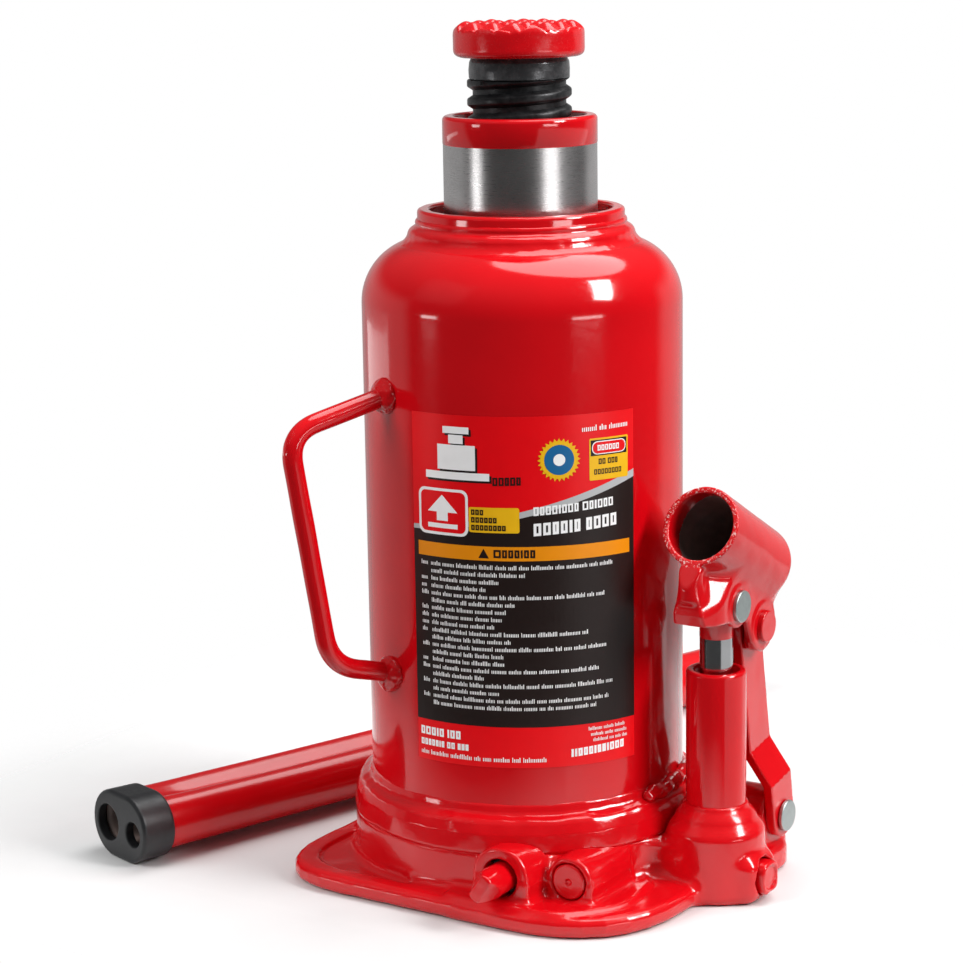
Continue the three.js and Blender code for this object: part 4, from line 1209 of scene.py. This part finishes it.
class Print:
    """Flat shapes laid on the tank, measured along its wall and up from the ground."""

    film = 0.12  # the film's thickness
    layer = 0.035  # how far each layer of ink lies above the one under it
    strip = 1.6  # the width of the strips that shapes are cut into

    def __init__(self):
        self.vertices, self.faces, self.paints = [], [], []

    def on_wall(self, u, z, lift):
        radius = TANK_RADIUS + self.film + lift * self.layer
        angle = LABEL_HEADING + u / TANK_RADIUS
        return radius * math.cos(angle), radius * math.sin(angle), z

    def shape(self, points, paint, lift):
        """A convex outline of (along, up), cut into strips that follow the wall's curve."""
        edge = LABEL_HALF * TANK_RADIUS
        points = clipped(clipped(points, 0, -edge, 1), 0, edge, -1)
        if len(points) < 3:
            return
        low, high = min(u for u, _ in points), max(u for u, _ in points)
        start = math.floor(low / self.strip)
        for k in range(start, math.ceil(high / self.strip)):
            part = clipped(clipped(points, 0, k * self.strip, 1), 0, (k + 1) * self.strip, -1)
            if len(part) < 3:
                continue
            first = len(self.vertices)
            self.vertices += [self.on_wall(u, z, lift) for u, z in part]
            self.faces.append(list(range(first, first + len(part))))
            self.paints.append(paint)

    def bar(self, u, z, width, height, paint, lift, slant=0.0):
        """A rectangle standing on (u, z), which climbs by slant along its width."""
        end, rise = u + width, slant * width
        self.shape([(u, z), (end, z + rise), (end, z + rise + height), (u, z + height)], paint, lift)

    def tile(self, u, z, width, height, corner, paint, lift):
        """A rectangle with round corners."""
        points = []
        for i, (cu, cz) in enumerate(((width, 0), (width, height), (0, height), (0, 0))):
            inner = (u + (cu - corner if cu else corner), z + (cz - corner if cz else corner))
            for k in range(6):
                a = (i - 1 + k / 5) * math.pi / 2
                points.append((inner[0] + corner * math.cos(a), inner[1] + corner * math.sin(a)))
        self.shape(points, paint, lift)

    def dot(self, u, z, radius, paint, lift, sides=40):
        angles = np.arange(sides) / sides * TURN
        self.shape([(u + radius * math.cos(a), z + radius * math.sin(a)) for a in angles], paint, lift)

    def script(self, u, z, width, height, paint, lift, rng, slant=0.0):
        """A line of upright strokes that stand for words. They are no letters."""
        at = u
        while at < u + width - height:
            for _ in range(rng.integers(4, 14)):
                stroke = height * rng.uniform(0.15, 0.24)
                if at + stroke > u + width:
                    break
                tall = height * rng.choice([0.7, 0.7, 0.7, 1.0])
                self.bar(at, z + (at - u) * slant, stroke, tall, paint, lift, slant)
                at += stroke + height * 0.17
            at += height * 0.4

    def title(self, u, z, widths, height, paint, lift, slant=0.0, stroke=0.2):
        """Words made of empty boxes, each as wide as its share of the height. A 0 is a space."""
        at = u
        for share in widths:
            wide, line = height * share, height * stroke
            if share == 0:
                at += height * 0.34
                continue
            base = z + (at - u) * slant
            sides = [(0, 0, wide, height)]
            if share >= 0.3:
                sides = [(0, 0, line, height), (wide - line, 0, line, height)]
                sides += [(line, rise, wide - 2 * line, line) for rise in (0, height - line)]
            for start, rise, width, tall in sides:
                self.bar(at + start, base + rise + start * slant, width, tall, paint, lift, slant)
            at += wide + height * 0.15


def clipped(points, axis, limit, keep):
    """The part of a convex outline on one side of a limit. keep is 1 for above it and -1 for below."""
    result = []
    for i, here in enumerate(points):
        before = points[i - 1]
        d0, d1 = keep * (before[axis] - limit), keep * (here[axis] - limit)
        if (d0 < 0) != (d1 < 0):
            t = d0 / (d0 - d1)
            result.append((before[0] + (here[0] - before[0]) * t, before[1] + (here[1] - before[1]) * t))
        if d1 >= 0:
            result.append(here)
    return result


# the inks, and their numbers in the same order
PAINTS = {
    "label_red": (0.82, 0.002, 0.006),
    "label_black": (0.016, 0.009, 0.008),
    "label_white": (0.95, 0.95, 0.95),
    "label_orange": (0.85, 0.28, 0.004),
    "label_yellow": (0.9, 0.5, 0.01),
    "label_silver": (0.48, 0.49, 0.5),
    "label_blue": (0.01, 0.13, 0.32),
}
R, K, W, O, Y, S, B = range(len(PAINTS))


def print_panel(art, half, foot):
    """The black panel under a swoosh that climbs to the right, edged in silver."""
    count = 24
    swoosh = []
    for k in range(count + 1):
        share = k / count
        swoosh.append(((2 * share - 1) * half, 123.2 + 16 * share ** 1.5, 1.5 + 1.0 * share))
    for (u0, z0, t0), (u1, z1, t1) in zip(swoosh, swoosh[1:]):
        art.shape([(u0, foot), (u1, foot), (u1, z1), (u0, z0)], K, 1)
        art.shape([(u0, z0), (u1, z1), (u1, z1 + t1), (u0, z0 + t0)], S, 1)


def print_pictures(art):
    """A plain picture of a jack, a framed arrow that points up from a bar, and a yellow tag."""
    for lift, paint, shift in ((1, K, 0.7), (2, W, 0.0)):
        u, z = -21.5 + shift, 140.4 - shift
        # base, tank, ram and saddle
        for width, rise, height in ((22, 0, 2.4), (13, 3.1, 8.0), (5, 11.5, 2.8), (9, 14.7, 2.2)):
            art.bar(u - width / 2, z + rise, width, height, paint, lift)
    art.title(-9.5, 139.0, (0.6, 0.6, 0.5, 0.6, 0.5), 2.6, K, 2, 0.03)

    art.tile(-35.6, 122.2, 18, 15, 2.4, W, 2)
    art.tile(-34.7, 123.1, 16.2, 13.2, 1.8, R, 3)
    art.shape([(-26.6, 135.2), (-32, 129.6), (-21.2, 129.6)], W, 4)
    art.bar(-28.6, 126.8, 4, 2.9, W, 4)
    art.bar(-32, 124.4, 10.8, 1.5, W, 4)

    art.tile(-17.4, 123.9, 16.2, 8.1, 0.7, Y, 2)
    for k, letters in enumerate((3, 6, 8)):
        art.title(-16.6, 129.5 - 2.45 * k, (0.66,) * letters, 1.75, K, 3, 0, 0.26)


def print_header(art, rng):
    """A round seal with teeth, a small tag and a line of small print."""
    seal_u, seal_z = 11.5, 147.0
    teeth, valley, tip, half_tooth = 28, 5.6, 6.9, 0.75
    for k in range(teeth):
        a = k / teeth * TURN
        out, on = (math.cos(a), math.sin(a)), (-math.sin(a), math.cos(a))
        art.shape([
            (seal_u + away * out[0] + aside * on[0], seal_z + away * out[1] + aside * on[1])
            for away, aside in ((valley, half_tooth), (tip, 0), (valley, -half_tooth))
        ], Y, 2)
    for radius, paint, lift in ((6.0, Y, 3), (4.8, B, 4), (1.9, W, 5)):
        art.dot(seal_u, seal_z, radius, paint, lift)

    art.tile(21.4, 139.6, 14.2, 13.4, 0.5, Y, 2)
    art.bar(21.9, 147.4, 13.2, 5.0, K, 3)
    art.tile(22.3, 147.8, 12.4, 4.2, 1.8, W, 4)
    art.tile(22.6, 148.1, 11.8, 3.6, 1.6, R, 5)
    art.title(24.2, 149.0, (0.6,) * 6, 1.8, W, 6)
    art.title(24.6, 144.6, (0.6, 0.6, 0, 0.6, 0.6, 0.5), 1.8, K, 3)
    art.title(23.0, 141.4, (0.6,) * 8, 1.7, K, 3)
    art.script(19.0, 155.4, 17, 1.8, W, 2, rng, 0.02)


def print_rows(art, half, foot, rng):
    """On the panel: two bold lines, the orange bar and numbered rows that stand for small print."""
    small = (0.6, 0.5, 0.6, 0.6, 0.25, 0.55, 0.6, 0.5, 0, 0.7, 0.5, 0.25, 0.6, 0.5, 0.6)
    large = (0.6, 0.6, 0.5, 0.55, 0.25, 0.5, 0, 0.5, 0.6, 0.6, 0.55)
    art.title(3.2, 129.4, small, 2.75, W, 2, 0.06)
    art.title(3.2, 122.9, large, 4.0, W, 2, 0.06, 0.22)

    art.bar(-half + 1.9, 114.9, 2 * half - 3.8, 4.6, O, 2)
    art.title(-9.5, 115.9, (0.9, 0.6, 0.6, 0.6, 0.25, 0.6, 0.6), 2.6, K, 3, 0, 0.24)
    art.shape([(-14.4, 115.7), (-11.0, 115.7), (-12.7, 118.8)], K, 3)

    row, letters = 2.42, 1.45
    numbered = (0, 2, 3, 4, 6, 7, 8, 9, 11, 13, 14, 16, 18)
    for k in range(int((112.4 - foot - 3) / row)):
        z = 112.0 - row * k
        if k in numbered:
            art.script(-35.0, z, 2.6, letters, W, 2, rng)
        shortest, longest = (16, 34) if k + 1 in numbered else (50, 62)
        art.script(-31.2, z, rng.uniform(shortest, longest), letters, W, 2, rng)


def print_footer(art, rng):
    upper = (0.6, 0.7, 0.6, 0.25, 0.6, 0, 0.25, 0.6, 0.6)
    lower = (0.6, 0.55, 0.5, 0.55, 0.5, 0.25, 0.5, 0, 0.6, 0.6, 0, 0.5, 0.5, 0.5)
    number = (0.3, 0.3, 0.55, 0.55, 0.55, 0.3, 0.5, 0.5, 0.3, 0.6, 0.6, 0.55)
    art.title(-36.6, 55.4, upper, 2.7, W, 2, 0, 0.24)
    art.title(-36.6, 51.9, lower, 2.1, W, 2, 0, 0.24)
    art.script(-36.6, 48.9, 44, 1.6, W, 2, rng)
    for k in range(3):
        art.script(20.5 + 0.8 * k, 58.2 - 1.9 * k, 15 - k, 1.2, W, 2, rng)
    art.title(14.6, 50.0, number, 2.6, W, 2, 0.05, 0.24)


def film_sheet(half, foot, top, thickness):
    """The label's film: a thin sheet that follows the tank's wall."""
    count = 64
    vertices, normals = [], []
    for radius, sense in ((TANK_RADIUS + thickness, 1), (TANK_RADIUS + 0.02, -1)):
        for z in (foot, top):
            for k in range(count + 1):
                a = LABEL_HEADING + (2 * k / count - 1) * half / TANK_RADIUS
                vertices.append((radius * math.cos(a), radius * math.sin(a), z))
                normals.append((sense * math.cos(a), sense * math.sin(a), 0))
    row = count + 1
    faces = []
    for k in range(count):
        faces.append([k, k + 1, row + k + 1, row + k])
        faces.append([2 * row + k, 3 * row + k, 3 * row + k + 1, 2 * row + k + 1])
        faces.append([2 * row + k, 2 * row + k + 1, k + 1, k])
        faces.append([row + k, row + k + 1, 3 * row + k + 1, 3 * row + k])
    faces.append([0, row, 3 * row, 2 * row])
    faces.append([count, 2 * row + count, 3 * row + count, row + count])
    return np.array(vertices), faces, np.array(normals)


def make_label():
    """The film on the tank, and its print. All of the print draws from one random source, in order."""
    half, panel_foot = LABEL_HALF * TANK_RADIUS, 60.5
    art = Print()
    rng = np.random.default_rng(6)
    print_panel(art, half, panel_foot)
    print_pictures(art)
    print_header(art, rng)
    print_rows(art, half, panel_foot, rng)
    print_footer(art, rng)

    materials = [printed(name, colour) for name, colour in PAINTS.items()]
    film = film_sheet(half, LABEL_FOOT, LABEL_TOP, art.film)
    add("label_film", film, materials[:1], "jack_body", ["rating_label"])
    shapes = (np.array(art.vertices), art.faces, None)
    paints = np.array(art.paints)
    add("label_print", shapes, materials, "jack_body", [], lambda centres: paints)


# ------------------------------------------------- pieces that keep their shape


def paint_cad_nodes():
    """CAD nodes that stay as they are, each with its own material."""
    finishes = {
        "rubber": rubber, "bronze": bronze, "copper": copper, "plain_steel": plain_steel,
        "zinc_plate": zinc, "ground_steel": plunger_steel, "red_enamel": smooth_enamel,
        "black_oxide": thread_black, "black_plastic": cap_plastic, "label_film": smooth_enamel,
    }
    for part in frame["record"]["subparts"]:
        node = frame["nodes"][part["node"]]
        node.data.materials.clear()
        node.data.materials.append(finishes[part["material_slot"]])


# ------------------------------------------------------------- camera and light


def make_camera():
    """The photograph's own view: its place, where it looks, its small roll and its lens."""
    azimuth = math.radians(32)
    distance, height = 0.86579, 0.31086
    yaw, pitch, roll = math.radians(-0.939), math.radians(11.819), math.radians(-0.902)
    data = bpy.data.cameras.new("camera")
    data.sensor_width = 36
    data.lens = 99.58
    camera = bpy.data.objects.new("camera", data)
    camera.location = (distance * math.sin(azimuth), -distance * math.cos(azimuth), height)
    turn = Matrix.Rotation(azimuth - yaw, 4, "Z") @ Matrix.Rotation(math.pi / 2 - pitch, 4, "X")
    camera.rotation_euler = (turn @ Matrix.Rotation(roll, 4, "Z")).to_euler()
    bpy.context.scene.collection.objects.link(camera)
    bpy.context.scene.camera = camera


def add_panel(name, azimuth, height, distance, width, length, radiance, lean=0.0, aim=0.14, mirrored=True):
    """A softbox at an azimuth from the front (90 is the right side), facing the jack.

    radiance is its brightness, white paper in full light being 1. A softbox that isn't mirrored
    lights the paint but leaves no reflection in it.
    """
    data = bpy.data.lights.new(name, "AREA")
    data.shape = "RECTANGLE"
    data.size, data.size_y = width, length
    data.energy = radiance * math.pi * width * length
    light = bpy.data.objects.new(name, data)
    a, target = math.radians(azimuth), Vector((0, 0, aim))
    at = Vector((distance * math.sin(a), -distance * math.cos(a), height))
    facing = (target - at).to_track_quat("-Z", "Y").to_matrix().to_4x4()
    light.matrix_world = Matrix.Translation(at) @ facing @ Matrix.Rotation(math.radians(lean), 4, "Z")
    light.visible_camera = False
    light.visible_glossy = mirrored
    bpy.context.scene.collection.objects.link(light)
    return light


def maths(tree, kind, a, b=None, clamp=False):
    """A node that works on values, which are numbers or other nodes' results."""
    node = tree.nodes.new("ShaderNodeMath")
    node.operation = kind
    node.use_clamp = clamp
    for socket, value in zip(node.inputs, (a, b)):
        if isinstance(value, (int, float)):
            socket.default_value = value
        elif value is not None:
            tree.links.new(value, socket)
    return node.outputs[0]


def make_floor():
    """A sheet of pale paper that fades out round the jack, so that it has no edge."""
    low, high, fade = (-0.15, -0.085), (0.105, 0.22), 0.1
    left, front, right, back = low[0] - fade, low[1] - fade, high[0] + fade, high[1] + fade
    sheet = bpy.data.meshes.new("floor")
    corner_points = [(left, front, 0), (right, front, 0), (right, back, 0), (left, back, 0)]
    sheet.from_pydata(corner_points, [], [[0, 1, 2, 3]])
    plane = bpy.data.objects.new("floor", sheet)
    plane.location.z = -0.0002
    paper = Shader("floor_paper", roughness=0.9, specular=0.05)
    paper.colour(paper.graded(paper.noise(40), (0.68, 0.68, 0.68), (0.71, 0.71, 0.71)))
    split = paper.node("ShaderNodeSeparateXYZ")
    paper.link(paper.place, split.inputs["Vector"])
    tree = paper.tree
    beyond = []
    for axis, a, b in (("X", low[0], high[0]), ("Y", low[1], high[1])):
        size = maths(tree, "ABSOLUTE", maths(tree, "SUBTRACT", split.outputs[axis], (a + b) / 2))
        over = maths(tree, "SUBTRACT", size, (b - a) / 2, clamp=True)
        beyond.append(maths(tree, "POWER", over, 2))
    away = maths(tree, "SQRT", maths(tree, "ADD", *beyond))
    paper.link(paper.graded(away, 1.0, 0.0, 0.0, fade * 0.95), paper.surface.inputs["Alpha"])
    sheet.materials.append(paper.material)
    bpy.context.scene.collection.objects.link(plane)


def make_world():
    """White behind the jack. What the jack mirrors is dark in front and bright behind."""
    world = bpy.data.worlds.new("studio")
    bpy.context.scene.world = world
    world.use_nodes = True
    tree = world.node_tree
    background = tree.nodes["Background"]

    def ramp(value, start, end):
        node = tree.nodes.new("ShaderNodeMapRange")
        node.interpolation_type = "SMOOTHSTEP"
        node.inputs["From Min"].default_value = start
        node.inputs["From Max"].default_value = end
        tree.links.new(value, node.inputs["Value"])
        return node.outputs["Result"]

    def product(a, b):
        return maths(tree, "MULTIPLY", a, b)

    def total(a, b):
        return maths(tree, "ADD", a, b)

    place = tree.nodes.new("ShaderNodeTexCoord")
    split = tree.nodes.new("ShaderNodeSeparateXYZ")
    tree.links.new(place.outputs["Generated"], split.inputs["Vector"])
    x, y, z = (split.outputs[axis] for axis in "XYZ")
    level_reach = maths(tree, "SQRT", total(product(x, x), product(y, y)))
    level_reach = maths(tree, "MAXIMUM", level_reach, 0.001)

    def sector(azimuth, half_width, soft):
        """1 within an azimuth range, and 0 outside it."""
        a = math.radians(azimuth)
        along = total(product(x, math.sin(a)), product(y, -math.cos(a)))
        edge = math.cos(math.radians(half_width + soft)), math.cos(math.radians(half_width - soft))
        return ramp(maths(tree, "DIVIDE", along, level_reach), *edge)

    low = maths(tree, "SUBTRACT", 1.0, ramp(z, -0.26, -0.2))
    level = maths(tree, "SUBTRACT", 1.0, ramp(z, 0.1, 0.35))
    right = product(sector(108, 48, 2), low)
    back = product(sector(180, 32, 8), level)
    left = product(sector(-104, 46, 6), level)
    above = ramp(z, 0.1, 0.9)
    light = 0.06
    for glow, strength in ((right, 0.6), (back, 0.42), (left, 0.34), (above, 0.14)):
        light = total(product(glow, strength), light)
    seen = tree.nodes.new("ShaderNodeLightPath").outputs["Is Camera Ray"]
    tree.links.new(maths(tree, "MAXIMUM", light, seen), background.inputs["Strength"])
    background.inputs["Color"].default_value = (1, 1, 1, 1)


def make_lights():
    add_panel("key", 99, 0.93, 1.12, 0.34, 0.74, 26, lean=-24)
    add_panel("fill", -34, 1.0, 1.25, 0.9, 0.9, 6.2, mirrored=False)
    add_panel("window", -92, 0.094, 0.5, 0.32, 0.038, 1.3, aim=0.09)
    add_panel("strip_left", -36, 0.078, 1.4, 0.3, 0.1, 9, aim=0.078)
    add_panel("strip_right", 78, 0.078, 1.4, 0.55, 0.1, 8, aim=0.078)
    top = add_panel("octagon", 157, 1.15, 0.36, 1.02, 1.02, 3.3)
    top.data.shape = "DISK"


def finish_scene():
    """Plain colours."""
    scene = bpy.context.scene
    scene.view_settings.view_transform = "Standard"


make_camera()
make_floor()
make_world()
make_lights()
make_base()
make_tank()
make_collar()
make_weld_runs()
make_weld_patch()
make_filler_plug()
make_ram()
make_screw()
make_saddle()
make_carry_handle()
make_socket()
make_straps()
make_pins()
make_pump()
make_side_plug()
make_valves()
make_lever_tube()
make_lever_cap()
make_label()
paint_cad_nodes()
finish_scene()
